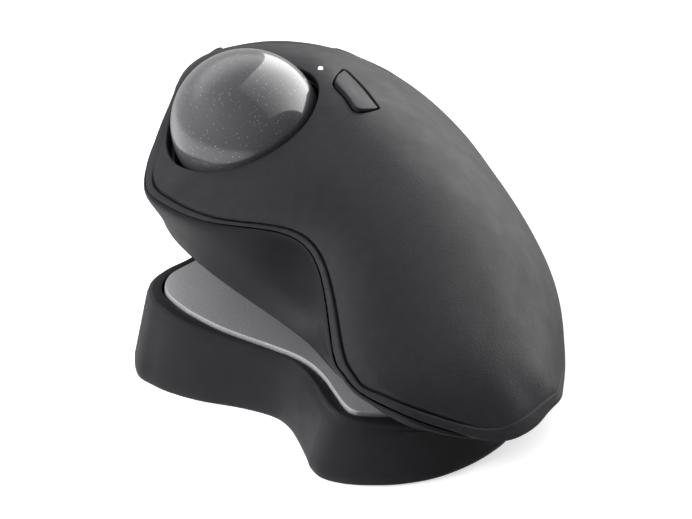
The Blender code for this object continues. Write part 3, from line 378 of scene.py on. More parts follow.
def offset(outline, d):
    P = np.asarray(outline, float)[:, :2]
    T = np.roll(P, -1, 0) - np.roll(P, 1, 0)
    N = np.stack([T[:, 1], -T[:, 0]], 1)
    N /= np.linalg.norm(N, axis=1)[:, None]
    area = 0.5 * np.sum(P[:, 0] * np.roll(P[:, 1], -1) - np.roll(P[:, 0], -1) * P[:, 1])
    return P + N * d * (1 if area > 0 else -1)


def flat_prism(name, outline, z0, z1, space, mat=None):
    o = np.asarray(outline, float)[:, :2]
    return loft(name, [np.c_[o, np.full(len(o), z0)], np.c_[o, np.full(len(o), z1)]], mat, space)


def boxed(name, lo, hi, space=MOUSE, mat=None, bevel=0.0, segs=3, rot=None):
    lo, hi = np.array(lo, float), np.array(hi, float)
    c = (lo + hi) / 2
    bm = bmesh.new()
    bmesh.ops.create_cube(bm, size=1.0)
    for v in bm.verts:
        v.co = Vector([v.co[i] * (hi - lo)[i] * MM for i in range(3)])
    if bevel:
        bmesh.ops.bevel(bm, geom=bm.edges[:], offset=bevel * MM, segments=segs, profile=0.5, affect='EDGES')
    m = space @ Matrix.Translation(Vector(c) * MM)
    if rot is not None:
        m = m @ rot.to_4x4()
    bm.transform(m)
    me = bpy.data.meshes.new(name)
    bm.to_mesh(me)
    bm.free()
    ob = bpy.data.objects.new(name, me)
    bpy.context.scene.collection.objects.link(ob)
    if mat is not None:
        me.materials.append(mat)
        me.shade_smooth()
        me.set_sharp_from_angle(angle=radians(40))
    return ob


def boolean(ob, cutters, op='DIFFERENCE'):
    """Cut with closed solids and keep the resulting mesh."""
    for c in cutters:
        m = ob.modifiers.new("b", 'BOOLEAN')
        m.operation, m.object, m.solver = op, c, 'MANIFOLD'
    dg = bpy.context.evaluated_depsgraph_get()
    me = bpy.data.meshes.new_from_object(ob.evaluated_get(dg), preserve_all_data_layers=False, depsgraph=dg)
    mats = [s.material for s in ob.material_slots]
    ob.modifiers.clear()
    old = ob.data
    ob.data = me
    bpy.data.meshes.remove(old)
    me.materials.clear()
    for x in mats:
        me.materials.append(x)
    for c in cutters:
        d = c.data
        bpy.data.objects.remove(c)
        bpy.data.meshes.remove(d)
    me.shade_smooth()
    me.set_sharp_from_angle(angle=radians(38))
    return ob


def copy_of(ob, name):
    c = ob.copy()
    c.data = ob.data.copy()
    c.name = name
    bpy.context.scene.collection.objects.link(c)
    return c


def join(ob, others):
    """Add the other meshes to ob as further islands."""
    bm = bmesh.new()
    bm.from_mesh(ob.data)
    for o in others:
        bm.from_mesh(o.data)
    bm.to_mesh(ob.data)
    bm.free()
    for o in others:
        d = o.data
        bpy.data.objects.remove(o)
        bpy.data.meshes.remove(d)
    ob.data.shade_smooth()
    ob.data.set_sharp_from_angle(angle=radians(38))
    return ob


def stand_for(ob, body, slot, *names):
    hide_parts(*names)
    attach(ob, body)
    return ob


def smoothstep(x, a, b):
    t = np.clip((x - a) / (b - a), 0, 1)
    return t * t * (3 - 2 * t)


# ---- the body's upper surface ----------------------------------------------
def limit(C):
    L = C.copy()
    L[1:-1, 1:-1] = (16 * C[1:-1, 1:-1] + 4 * (C[:-2, 1:-1] + C[2:, 1:-1] + C[1:-1, :-2] + C[1:-1, 2:])
                     + C[:-2, :-2] + C[:-2, 2:] + C[2:, :-2] + C[2:, 2:]) / 36
    for i in (0, -1):
        L[i, 1:-1] = (4 * C[i, 1:-1] + C[i, :-2] + C[i, 2:]) / 6
        L[1:-1, i] = (4 * C[1:-1, i] + C[:-2, i] + C[2:, i]) / 6
    for i, a in ((0, 1), (-1, -2)):
        for j, b in ((0, 1), (-1, -2)):
            L[i, j] = (4 * C[i, j] + C[a, j] + C[i, b]) / 6
    return L


TABLE = np.array(TOP, float)
CAGE = TABLE.copy()
for _ in range(40):
    CAGE += (TABLE - limit(CAGE)) * 0.9
ROWS, COLS = CAGE.shape[:2]


def refine(G):
    def one(A):
        out = np.zeros((2 * len(A) - 1,) + A.shape[1:])
        out[0::2] = A
        out[1::2] = (A[:-1] + A[1:]) / 2
        out[2:-2:2] = (A[:-2] + 6 * A[1:-1] + A[2:]) / 8
        return out
    H = one(one(G).transpose(1, 0, 2)).transpose(1, 0, 2)
    for i, a in ((0, 1), (-1, -2)):
        for j, b in ((0, 1), (-1, -2)):
            H[i, j] = (6 * G[i, j] + G[a, j] + G[i, b]) / 8
    return H


DENSE = CAGE
for _ in range(5):
    DENSE = refine(DENSE)
SUB = 32


def dense_normals(D):
    du = np.gradient(D, axis=0)
    dv = np.gradient(D, axis=1)
    n = np.cross(du, dv)
    n /= np.linalg.norm(n, axis=2)[..., None]
    if n[len(n) // 2, n.shape[1] // 2, 2] < 0:
        n = -n
    return n


DNORM = dense_normals(DENSE)


def at(A, u, v):
    """Bilinear reading of a dense field at cage parameters u (rows), v (columns)."""
    x = np.clip(np.asarray(u, float) * SUB, 0, A.shape[0] - 1)
    y = np.clip(np.asarray(v, float) * SUB, 0, A.shape[1] - 1)
    i = np.minimum(x.astype(int), A.shape[0] - 2)
    j = np.minimum(y.astype(int), A.shape[1] - 2)
    a, b = (x - i)[..., None], (y - j)[..., None]
    return (A[i, j] * (1 - a) * (1 - b) + A[i + 1, j] * a * (1 - b) + A[i, j + 1] * (1 - a) * b + A[i + 1, j + 1] * a * b)


def surf(u, v):
    p, n = at(DENSE, u, v), at(DNORM, u, v)
    return p, n / np.linalg.norm(n, axis=-1)[..., None]


def speed(u, v, du, dv):
    """mm per unit of parameter in the given direction."""
    e = 0.25
    return np.linalg.norm(at(DENSE, u + du * e, v + dv * e) - at(DENSE, u, v), axis=-1) / e


NU, NV = ((13 * 16 + 1, 9 * 16 + 1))
s_axis, t_axis = np.linspace(0, 13, NU), np.linspace(0, 9, NV)
zu, zv = np.zeros(NU), np.zeros(NV)


def soften(a, n=2):
    for _ in range(n):
        b = a.copy()
        b[1:-1] = 0.25 * a[:-2] + 0.5 * a[1:-1] + 0.25 * a[2:]
        a = b
    return a


IN_LEFT = soften(1 / speed(s_axis, zu, 0, 1), 12)
IN_RIGHT = soften(1 / speed(s_axis, zu + 9, 0, -1), 12)
IN_FRONT = soften(1 / speed(zv, t_axis, 1, 0), 12)
IN_REAR = soften(1 / speed(zv + 13, t_axis, -1, 0), 12)


def domain(d):
    """Surface parameters (u, v) of the grid pulled in from the border by d mm."""
    s, t = (s_axis / 13)[:, None], (t_axis / 9)[None, :]
    u = d * IN_FRONT[None, :] + s * (13 - d * (IN_FRONT + IN_REAR)[None, :])
    v = d * IN_LEFT[:, None] + t * (9 - d * (IN_LEFT + IN_RIGHT)[:, None])
    return u, v


def rim_of(A):
    """The border of a grid as one loop: left side, rear, right side, front."""
    return np.concatenate([A[:, 0], A[-1, 1:-1], A[::-1, -1], A[0, -2:0:-1]])


RIM_P, RIM_N = surf(*[rim_of(x) for x in domain(0.0)])
groove = 0.08 + 0.92 * (1 - smoothstep(RIM_P[:, 0], -4, 14)) * (1 - smoothstep(RIM_P[:, 1], -1, 8))
for _ in range(10):
    groove = 0.5 * groove + 0.25 * (np.roll(groove, 1) + np.roll(groove, -1))

broad = smoothstep(-RIM_P[:, 1], 34, 56)

# towards the right rear the deck runs on over its edge, with no bead
RUN_ON = smoothstep(RIM_P[:, 0], 2, 16) * smoothstep(-RIM_P[:, 1], 16, 40)
ONWARD = RIM_P - surf(*[rim_of(x) for x in domain(0.6)])[0]
for _ in range(40):
    RUN_ON = 0.5 * RUN_ON + 0.25 * (np.roll(RUN_ON, 1) + np.roll(RUN_ON, -1))
    ONWARD = 0.5 * ONWARD + 0.25 * (np.roll(ONWARD, 1, 0) + np.roll(ONWARD, -1, 0))
ONWARD -= RIM_N * (ONWARD * RIM_N).sum(1)[:, None]
ONWARD /= np.linalg.norm(ONWARD, axis=1)[:, None]

# rounding of the deck into the groove, then the bead along the edge: (distance from the edge, groove depth, edge fall)
EDGE = [(4.0, 0.0, 0), (3.6, 0.0, 0), (3.2, 0.02, 0), (2.9, 0.07, 0), (2.65, 0.15, 0), (2.42, 0.28, 0), (2.22, 0.46, 0), (2.06, 0.70, 0), (1.96, 0.98, 0), (1.86, 1.05, 0),
        (1.79, 0.95, 0), (1.74, 0.55, 0), (1.69, 0.28, 0), (1.6, 0.10, 0), (1.45, 0.01, 0), (1.2, -0.03, 0.0), (0.95, -0.03, 0.0),
        (0.7, 0.0, 0.0), (0.45, 0.0, 0.03), (0.28, 0.0, 0.07), (0.14, 0.0, 0.14), (0.05, 0.0, 0.24), (0.0, 0.0, 0.4), (0.0, 0, 1.2), (0.15, 0, 1.62)]


def upper_shell(name, mat):
    """The whole upper surface, keys included, as one closed wall with its edge bead."""
    u, v = domain(4.6)
    p, n = surf(u, v)
    outer = p
    inner = p - n * 2.0
    loops = []
    for d, g, f in EDGE:
        wide = d * 1.35 if d < 3.3 else d + 0.45
        uv = [(1 - broad) * rim_of(x) + broad * rim_of(y) for x, y in zip(domain(d), domain(wide))]
        for _ in range(int(12 * min(1.0, max(0.0, d - 0.3) / 1.3))):
            uv = [0.5 * x + 0.25 * (np.roll(x, 1) + np.roll(x, -1)) for x in uv]
        q, m = surf(*uv)
        over = RUN_ON * min(f, 1.45)
        loop = q + ONWARD * over[:, None] - m * (g * groove + f * (1 - RUN_ON) + 0.16 * over ** 2)[:, None]
        even = loop
        for _ in range(160):
            even = 0.5 * even + 0.25 * (np.roll(even, 1, 0) + np.roll(even, -1, 0))
        loops.append(loop + (even - loop) * (RUN_ON * max(0.0, 1 - d / 3.6))[:, None])
    q, m = surf(*[rim_of(x) for x in domain(1.6)])
    loops.append(q - m * 2.0)
    idx = np.arange(NU * NV).reshape(NU, NV)
    grid = np.stack([idx[:-1, :-1], idx[1:, :-1], idx[1:, 1:], idx[:-1, 1:]], -1).reshape(-1, 4)
    faces = [tuple(f) for f in grid.tolist()]
    faces += [tuple(x + NU * NV for x in f[::-1]) for f in grid.tolist()]
    rim = rim_of(idx[..., None])[:, 0]
    base = 2 * NU * NV
    L = len(rim)
    chain = [rim] + [base + k * L + np.arange(L) for k in range(len(loops))] + [rim + NU * NV]
    for a, b in zip(chain[:-1], chain[1:]):
        faces += [(int(a[i]), int(a[(i + 1) % L]), int(b[(i + 1) % L]), int(b[i])) for i in range(L)]
    verts = np.concatenate([outer.reshape(-1, 3), inner.reshape(-1, 3)] + loops)
    return make(name, verts, faces, mat)


# a finder for points of the surface along a straight line, in the mouse frame
_v = [Vector(p) for p in DENSE[::2, ::2].reshape(-1, 3)]
_nu, _nv = DENSE[::2, ::2].shape[:2]
_i = np.arange(_nu * _nv).reshape(_nu, _nv)
_f = np.stack([_i[:-1, :-1], _i[1:, :-1], _i[1:, 1:], _i[:-1, 1:]], -1).reshape(-1, 4).tolist()
TREE = BVHTree.FromPolygons(_v, _f)
_dn = DNORM[::2, ::2]


def hit(origin, direction):
    loc, nor, fi, dist = TREE.ray_cast(Vector(origin), Vector(direction).normalized())
    if loc is None:
        return None
    quad = _f[fi]
    w = np.array([1.0 / (1e-6 + (loc - _v[k]).length) for k in quad])
    n = sum(w[a] * _dn.reshape(-1, 3)[quad[a]] for a in range(4))
    return np.array(loc), n / np.linalg.norm(n)


def down(x, y):
    r = hit((x, y, 90), (0, 0, -1))
    if r is None:
        p, n, i, d = TREE.find_nearest(Vector((x, y, 20)))
        return np.array(p), np.array(n)
    return r


whole = upper_shell("body_upper", coat)


def strip_profile(r, drop, wide=0.6, n=6):
    """(distance away from the opening, depth) of a rounded lip of radius r."""
    arc = [(r - r * sin(pi / 2 * k / n), r - r * cos(pi / 2 * k / n)) for k in range(n + 1)]
    return [(wide, 0.0)] + arc + [(0.0, drop), (wide, drop)]


def lip(name, path, profile, mat, sign=1):
    """Rounded lip around an opening, set in the opening that was cut wider by its width.

    path holds (point, normal) on the surface along the opening's true edge."""
    P = np.array([p for p, n in path])
    N = np.array([n for p, n in path])
    T = np.roll(P, -1, 0) - np.roll(P, 1, 0)
    B = np.cross(T, N)
    B /= np.linalg.norm(B, axis=1)[:, None]
    c = P.mean(0)
    if np.mean(np.sum(B * (P - c), 1)) < 0:
        B = -B
    rings = []
    for a, h in profile:
        rings.append(P + B * a * sign - N * h)
    return loft(name, rings, mat, MOUSE, wrap=True, angle=50)


def plan_path(outline):
    return [down(x, y) for x, y in np.asarray(outline)[:, :2]]


def cap_on_surface(name, outline, spine, mat, height, r, depth, dish=0.0, rings_in=7, tilt=None):
    """Button cap that follows the body's surface: a rounded edge, a gently dished top and a skirt."""
    O = np.asarray(outline, float)[:, :2]
    a, b = np.array(spine[0], float), np.array(spine[1], float)
    t = np.clip(((O - a) @ (b - a)) / ((b - a) @ (b - a)), 0, 1)
    C = a + t[:, None] * (b - a)
    out = []

    def ring(inset, h):
        L = np.linalg.norm(O - C, axis=1)
        s = np.maximum(0.0, (L - inset) / L)
        Q = C + (O - C) * s[:, None]
        pts = []
        for x, y in Q:
            p, n = down(x, y)
            pts.append(p + n * (h + (tilt(x, y) if tilt and h > -depth else 0.0)))
        return np.array(pts)
    rows = [ring(0.8, -depth), ring(0.0, -depth)]
    for k in range(7):
        q = pi / 2 * k / 6
        rows.append(ring(r * (1 - cos(q)), height - r + r * sin(q)))
    L = np.linalg.norm(O - C, axis=1).min()
    for k in range(1, rings_in + 1):
        w = k / (rings_in + 0.0)
        inset_all = r + (np.linalg.norm(O - C, axis=1) - r) * w * 0.98
        Ls = np.linalg.norm(O - C, axis=1)
        s = (Ls - inset_all) / Ls
        Q = C + (O - C) * s[:, None]
        h = height - dish * smoothstep(w * Ls.max(), 0.0, Ls.max())
        pts = []
        for x, y in Q:
            p, n = down(x, y)
            pts.append(p + n * (h + (tilt(x, y) if tilt else 0.0)))
        rows.append(np.array(pts))
    return loft(name, rows, mat, MOUSE, angle=45)


# ---- outer shell, keys ------------------------------------------------------
BALL_W = BALL_F.copy()
TO_MOUSE = MOUSE.inverted() @ BALL_F
axis = np.array(TO_MOUSE.to_3x3() @ Vector((0, 0, 1)))
ex = np.array(TO_MOUSE.to_3x3() @ Vector((1, 0, 0)))
ey = np.array(TO_MOUSE.to_3x3() @ Vector((0, 1, 0)))
NP = 220


def hole_path(radius):
    out = []
    for k in range(NP):
        a = 2 * pi * k / NP
        o = np.array(BALL_C) + radius * (cos(a) * ex + sin(a) * ey)
        r = hit(o + axis * 40, -axis)
        if r is None:
            q = TREE.find_nearest(Vector(o + axis * 5))
            r = (np.array(q[0]), np.array(q[1]))
        out.append(r)
    return out


prec_line = closed_spline(PRECISION, 160)
prec_slot = offset(prec_line, 0.5)


def pill(l, w, n=14):
    r = w / 2
    up = [(r * cos(pi * i / n), l / 2 - r + r * sin(pi * i / n)) for i in range(n + 1)]
    return up + [(-x, -y) for x, y in up]


chan_line = [(x + WHEEL_C[0], y + 29.4) for x, y in [(b, a) for a, b in pill(5.6, 2.8)]]
chan_slot = offset(chan_line, 0.35)


def dense_line(pts, step=0.5):
    P = np.asarray(pts, float)
    out = []
    for a, b in zip(P, np.roll(P, -1, 0)):
        n = max(1, int(np.ceil(np.linalg.norm(b - a) / step)))
        out += [a + (b - a) * k / n for k in range(n)]
    return np.array(out)


def cylinder(name, r, z0, z1, space, loc=(0, 0, 0), rot=None, steps=48):
    m = space @ Matrix.Translation(Vector(loc) * MM)
    if rot is not None:
        m = m @ rot.to_4x4()
    a = [2 * pi * k / steps for k in range(steps)]
    ring = np.array([(r * cos(q), r * sin(q)) for q in a])
    return loft(name, [np.c_[ring, np.full(steps, z0)], np.c_[ring, np.full(steps, z1)]], None, m)


LIP_W = 0.5
top = copy_of(whole, "shell_upper")
top.data.materials.clear()
top.data.materials.append(coat)
cutters = [
    cylinder("c_ball", HOLE_R + LIP_W, -6, 30, BALL_F, steps=NP),
    boxed("c_left", (-70, SEAM_Y - SEAM, -20), (SPINE[0], 80, 80)),
    boxed("c_right", (SPINE[1], SEAM_Y - SEAM, -20), (80, 80, 80)),
    boxed("c_wheel", (WHEEL_C[0] - 4.7, 33.2, 27.0), (WHEEL_C[0] + 4.7, 56.6, 60)),
    flat_prism("c_prec", offset(prec_slot, LIP_W), 30, 60, MOUSE),
    flat_prism("c_chan", offset(chan_slot, 0.25), 36, 60, MOUSE),
    cylinder("c_led_a", 0.72, 40, 60, MOUSE, (-18.4, 9.2, 0)),
    cylinder("c_led_b", 0.65, 30, 60, MOUSE, (WHEEL_C[0], 24.6, 0)),
]
boolean(top, cutters)
extra = [
    lip("l_ball", hole_path(HOLE_R), strip_profile(0.35, 2.0, LIP_W), coat),
    lip("l_prec", plan_path(prec_slot), strip_profile(0.2, 2.0, LIP_W), coat),
    lip("l_chan", plan_path(chan_slot), strip_profile(0.2, 2.0, 0.25), coat),
]
posts = []
for x, y in [(-9.0, -33.2), (22.3, -50.5), (22.3, 27.8), (-15.0, 28.0)]:
    zt = min(down(x + 2.6 * cos(a), y + 2.6 * sin(a))[0][2] for a in np.linspace(0, 2 * pi, 13)) - 1.1
    z0 = max(0.0, x * tan(radians(BODY_ANGLE))) + 3.2 + (1.0 if x > 0 else 0)
    prof = [(1.25, z0), (2.3, z0), (2.5, z0 + 0.25), (2.5, zt), (1.25, zt)]
    posts.append(turned("post", prof, coat, MOUSE @ Matrix.Translation(Vector((x, y, 0)) * MM), 28))
for x in (-1.2, 18.0):
    posts.append(boxed("rib", (x - 1.0, 30.2, 33.2), (x + 1.0, 33.5, down(x, 33)[0][2] - 1.0), MOUSE, coat, 0.2))
    boolean(posts[-1], [cylinder("rb", 1.35, -30, 40, MOUSE, (5, PIVOT_Y, PIVOT_Z), Matrix.Rotation(radians(90), 3, 'Y'), 32)])
join(top, extra + posts)
stand_for(top, "mouse_body", "coated_shell", "top_shell")

SIDE = {
    "back_button": ((-27.9, 38.2, 31.6), (-0.80, 0.32, 0.50), (8.4, 4.6), (0.55, 0.75, 0.2)),
    "forward_button": ((-20.7, 46.9, 30.6), (-0.66, 0.52, 0.54), (8.4, 4.6), (0.65, 0.70, 0.1)),
}


def frame_at(p, n, up):
    n = Vector(n).normalized()
    e = Vector(up)
    e = (e - n * e.dot(n)).normalized()
    x = e.cross(n)
    r = Matrix((x, e, n)).transposed()
    return MOUSE @ (Matrix.Translation(Vector(p) * MM) @ r.to_4x4())


def key(side):
    s = 1 if side == "left" else -1
    if s > 0:
        lo, hi = (-70, SEAM_Y + SEAM, -20), (SPINE[0] - SEAM, 80, 80)
    else:
        lo, hi = (SPINE[1] + SEAM, SEAM_Y + SEAM, -20), (80, 80, 80)
    ob = copy_of(whole, "key_" + side)
    boolean(ob, [boxed("region", lo, hi)], 'INTERSECT')
    cuts = []
    if s > 0:
        for p, n, (l, w), up in SIDE.values():
            cuts.append(flat_prism("slot", offset(pill(l, w), 0.7), -6, 6, frame_at(p, n, up)))
    if cuts:
        boolean(ob, cuts)
    xs, post = ((-20.0, -5.0), (-9.0, 47.0)) if s > 0 else ((26.6, 31.2), (27.0, 46.0))
    parts = []
    for x in xs:
        t = down(x, SEAM_Y + 1.6)[0][2] - 1.1 - PIVOT_Z
        arm = [(-1.2, -1.8), (4.8, -1.8), (4.8, t - 0.3), (2.5, t), (2.5, 1.8), (-1.2, 1.8), (-1.9, 0)]
        m = MOUSE @ Matrix.Translation(Vector((x, PIVOT_Y, PIVOT_Z)) * MM) @ (Matrix.Rotation(radians(90), 4, 'Z') @ Matrix.Rotation(radians(90), 4, 'X'))
        a = flat_prism("arm", arm, -1.5, 1.5, m, coat)
        boolean(a, [cylinder("bore", 1.35, -30, 40, MOUSE, (5, PIVOT_Y, PIVOT_Z), Matrix.Rotation(radians(90), 3, 'Y'), 32)])
        parts.append(a)
    zt = down(*post)[0][2] - 0.9
    parts.append(boxed("post", (post[0] - 1.2, post[1] - 1.2, 29.6), (post[0] + 1.2, post[1] + 1.2, zt), MOUSE, coat, 0.2))
    join(ob, parts)
    return stand_for(ob, side + "_key", "coated_shell", side + "_button")


key("left")
key("right")
d_ = whole.data
bpy.data.objects.remove(whole)
bpy.data.meshes.remove(d_)

for name, (p, n, (l, w), up) in SIDE.items():
    m = frame_at(p, n, up)
    rows = [[(x * 0.9, y * 0.94, -2.6) for x, y in pill(l, w)], [(x, y, -2.6) for x, y in pill(l, w)]]
    r = 0.55
    for k in range(7):
        q = pi / 2 * k / 6
        o = offset(pill(l, w), -r * (1 - cos(q)))
        rows.append([(x, y, 0.9 - 0.25 - r + r * sin(q)) for x, y in o])
    for k in range(1, 6):
        o = offset(pill(l, w), -r)
        f = 1 - k / 5.2
        rows.append([(x * f, y * (1 - (1 - f) * 0.55), 0.65 + 0.25 * (1 - f * f)) for x, y in o])
    cap = loft("cap_" + name, rows, coat, m, angle=45)
    stand_for(cap, "back_key" if name == "back_button" else "forward_key", "coated_shell", name)

prec = cap_on_surface("cap_precision", prec_line, [(-13.6, 5.2), (-14.6, -6.8)], coat, 0.0, 0.22, 2.4, dish=0.0,
                      tilt=lambda x, y: -0.32 + 1.2 * min(1.0, max(0.0, (-11.6 - x) / 6.6)) + 0.3 * min(1.0, max(0.0, (-3.5 - y) / 6.0)))
stand_for(prec, "precision_key", "coated_shell", "precision_button")
chan = cap_on_surface("cap_channel", chan_line, [(7.6, 29.4), (10.4, 29.4)], coat, 0.12, 0.25, 1.8, dish=0.05, rings_in=4)
stand_for(chan, "channel_key", "coated_shell", "channel_button")

m = frame_at((-18.4, 9.2, down(-18.4, 9.2)[0][2]), down(-18.4, 9.2)[1], (0, 1, 0))
led = turned("led_dome", [(0, -2.0), (0.5, -2.0), (0.55, -1.9), (0.55, 0.1), (0.5, 0.24), (0.38, 0.36), (0.2, 0.43), (0, 0.45)], glow, m, 32, closed=False)
stand_for(led, "mouse_body", "light_pipe", "precision_led")

# ---- lower casing -----------------------------------------------------------
BORDER = ([(i, 0) for i in range(ROWS)] + [(ROWS - 1, j) for j in range(1, COLS - 1)]
          + [(i, COLS - 1) for i in range(ROWS - 1, -1, -1)] + [(0, j) for j in range(COLS - 2, 0, -1)])


def edge_direction(A, i, j):
    d = np.zeros(3)
    for on, a, b, c in ((j == 0, A[i, 0], A[i, 1], A[i, 2]), (j == COLS - 1, A[i, -1], A[i, -2], A[i, -3]),
                        (i == 0, A[0, j], A[1, j], A[2, j]), (i == ROWS - 1, A[-1, j], A[-2, j], A[-3, j])):
        if on:
            e = 1.5 * a - 2 * b + 0.5 * c
            d += e / np.linalg.norm(e)
    return d / np.linalg.norm(d)


def foot_z(x):
    return max(0.0, x * tan(radians(BODY_ANGLE)))


edge_ring = np.array([CAGE[i, j] for i, j in BORDER])
EDGE_DOWN = np.array([edge_direction(TABLE, i, j) for i, j in BORDER])
for k, (i, j) in enumerate(BORDER):
    if i in (0, ROWS - 1) and j in (0, COLS - 1):
        EDGE_DOWN[k] = 0.5 * (EDGE_DOWN[k - 1] + EDGE_DOWN[(k + 1) % len(edge_ring)])
for step in range(2):
    EDGE_DOWN[:, 2] = np.minimum(EDGE_DOWN[:, 2], -0.72)
    EDGE_DOWN = 0.5 * EDGE_DOWN + 0.25 * (np.roll(EDGE_DOWN, 1, 0) + np.roll(EDGE_DOWN, -1, 0))
foot_pts = np.array(FOOT_LEFT + FOOT_REAR + FOOT_RIGHT + FOOT_FRONT, float)


def lower_casing(name, mat, levels):
    """Casing wall between the upper shell's edge and the foot, with a concave undercut."""
    n_ring = len(edge_ring)
    bm = bmesh.new()
    sections, rings = [], []
    for i in range(n_ring):
        along = edge_ring[(i + 1) % n_ring] - edge_ring[i - 1]
        along /= np.linalg.norm(along)
        t = EDGE_DOWN[i] - along * np.dot(EDGE_DOWN[i], along)
        t /= np.linalg.norm(t)
        nrm = np.cross(t, along)
        y = edge_ring[i][1]
        gap = 0.08 + 1.27 * min(1.0, max(0.0, (y - 33.0) / 18.0)) + 0.2 * min(1.0, max(0.0, (-40.0 - y) / 12.0))
        fx, fy = foot_pts[i]
        base = np.array([fx, fy, foot_z(fx)])
        out = np.array([edge_ring[i][0] - fx, edge_ring[i][1] - fy, 0.0])
        out /= np.linalg.norm(out)
        up = np.array([0, 0, 1.0])
        p0 = edge_ring[i] + t * gap
        p2 = base + 0.48 * (p0 - base)
        edge = [p0, p0 + t * 1.5, p2, base, base - out * 2.0, p2 - out * 1.9 + up * 0.2, p0 - nrm * 1.7 + t * 1.6]
        a = edge_ring[i] - nrm * 3.6
        b = a + t * 0.5
        c = 0.5 * (b + base)
        tuck = [a, b, c, base, base - out * 2.0, c - out * 1.6 + up * 1.5, a - out * 1.6 + up * 0.9]
        w = min(1.0, max(0.0, (edge_ring[i][2] - base[2] - 1.2) / 0.8))
        if y < -45:
            w *= 1 - float(smoothstep(edge_ring[i][0], 2.0, 14.0))
        pts = [w * l + (1 - w) * m for l, m in zip(edge, tuck)]
        for q in (3, 4):
            pts[q][2] = foot_z(pts[q][0])
        rings.append(pts)
    rings = np.array(rings)
    middle = rings[:, [2, 5]]
    for _ in range(3):
        middle = 0.5 * middle + 0.25 * (np.roll(middle, 1, 0) + np.roll(middle, -1, 0))
    rings[:, [2, 5]] += (middle - rings[:, [2, 5]]) * (1 - smoothstep(edge_ring[:, 1], -18, -2))[:, None, None]
    for pts in rings:
        sections.append([bm.verts.new(MOUSE @ (Vector(p) * MM)) for p in pts])
    for i in range(n_ring):
        a, b = sections[i], sections[(i + 1) % n_ring]
        for k in range(len(a)):
            bm.faces.new((a[k], a[(k + 1) % len(a)], b[(k + 1) % len(a)], b[k]))
    crease = bm.edges.layers.float.new("crease_edge")
    bm.edges.ensure_lookup_table()
    for i in range(n_ring):
        for k, c in ((0, 0.95), (3, 0.9), (4, 1.0), (6, 1.0)):
            bm.edges.get((sections[i][k], sections[(i + 1) % n_ring][k]))[crease] = c
    bmesh.ops.recalc_face_normals(bm, faces=bm.faces)
    me = bpy.data.meshes.new(name)
    bm.to_mesh(me)
    bm.free()
    ob = bpy.data.objects.new(name, me)
    bpy.context.scene.collection.objects.link(ob)
    me.materials.append(mat)
    s = ob.modifiers.new("s", 'SUBSURF')
    s.levels = s.render_levels = levels
    return boolean(ob, [])


low = lower_casing("casing_lower", casing, 3)
TURN_Y = Matrix.Rotation(radians(90), 3, 'Y')
boolean(low, [boxed("c_window", (WHEEL_C[0] - 5.0, 49, 10.1), (WHEEL_C[0] + 5.0, 70, 13.9), MOUSE, None, 0.5)])


def ball_mesh(name, r, mat, space, n=48, loc=(0, 0, 0)):
    """Sphere from a projected cube grid, with even quads all over."""
    bm = bmesh.new()
    t = np.tan(np.linspace(-pi / 4, pi / 4, n + 1))
    for f in range(6):
        g = {}
        for i, a in enumerate(t):
            for j, b in enumerate(t):
                p = Vector(((1, a, b), (-1, -a, b), (-a, 1, b), (a, -1, b), (-b, a, 1), (b, a, -1))[f]).normalized() * r
                g[i, j] = bm.verts.new(space @ ((p + Vector(loc)) * MM))
        for i in range(n):
            for j in range(n):
                bm.faces.new((g[i, j], g[i + 1, j], g[i + 1, j + 1], g[i, j + 1]))
    bmesh.ops.remove_doubles(bm, verts=bm.verts, dist=1e-7)
    bmesh.ops.recalc_face_normals(bm, faces=bm.faces)
    me = bpy.data.meshes.new(name)
    bm.to_mesh(me)
    bm.free()
    me.materials.append(mat)
    me.shade_smooth()
    ob = bpy.data.objects.new(name, me)
    bpy.context.scene.collection.objects.link(ob)
    return ob


tmp = ball_mesh("c_room", CUP_OUT + 0.6, casing, BALL_F, 24)
tmp.data.materials.clear()
boolean(low, [tmp])
stand_for(low, "mouse_body", "casing_plastic", "lower_shell")

# ---- ball, socket, bearings -------------------------------------------------
ball = ball_mesh("ball_polished", BALL_R, pearl, BALL_F, 56)
stand_for(ball, "ball", "ball_gloss", "trackball")


def arc(r, a0, a1, n):
    return [(r * cos(radians(a0 + (a1 - a0) * i / n)), r * sin(radians(a0 + (a1 - a0) * i / n))) for i in range(n + 1)]


cup_profile = arc(CUP_OUT, -5.6, -62, 30) + arc(CUP_IN, -62, -5.6, 30)
mid = (CUP_IN + CUP_OUT) / 2
half = (CUP_OUT - CUP_IN) / 2
cup_profile += [(mid * cos(radians(-5.6)) + half * cos(a), mid * sin(radians(-5.6)) + half * sin(a)) for a in np.linspace(pi, 0, 9)[1:-1] - radians(5.6)]
cup = turned("socket_cup", cup_profile, nylon, BALL_F, 120)
pockets = []
for k in range(3):
    a = radians(90 + 120 * k)
    d = Vector((cos(a) * cos(radians(-40)), sin(a) * cos(radians(-40)), sin(radians(-40))))
    pockets.append(cylinder("pocket", 1.65, 15, 22, BALL_F, (0, 0, 0), d.to_track_quat('Z', 'Y').to_matrix(), 28))
    b = ball_mesh("bearing_%d" % (k + 1), 1.25, ceramic, BALL_F, 10, d * (BALL_R + 1.25 + 0.12))
    stand_for(b, "mouse_body", "bearing_ceramic", "bearing_ball_%d" % (k + 1))
boolean(cup, pockets)
stand_for(cup, "mouse_body", "black_nylon", "ball_socket")

# ---- riser, plate, pad ------------------------------------------------------
NR = 240
foot = closed_spline([(a, b) for a, b, c, d in RISER], NR)
rim = closed_spline([(c, d) for a, b, c, d in RISER], NR)
slope = tan(radians(RISER_ANGLE))


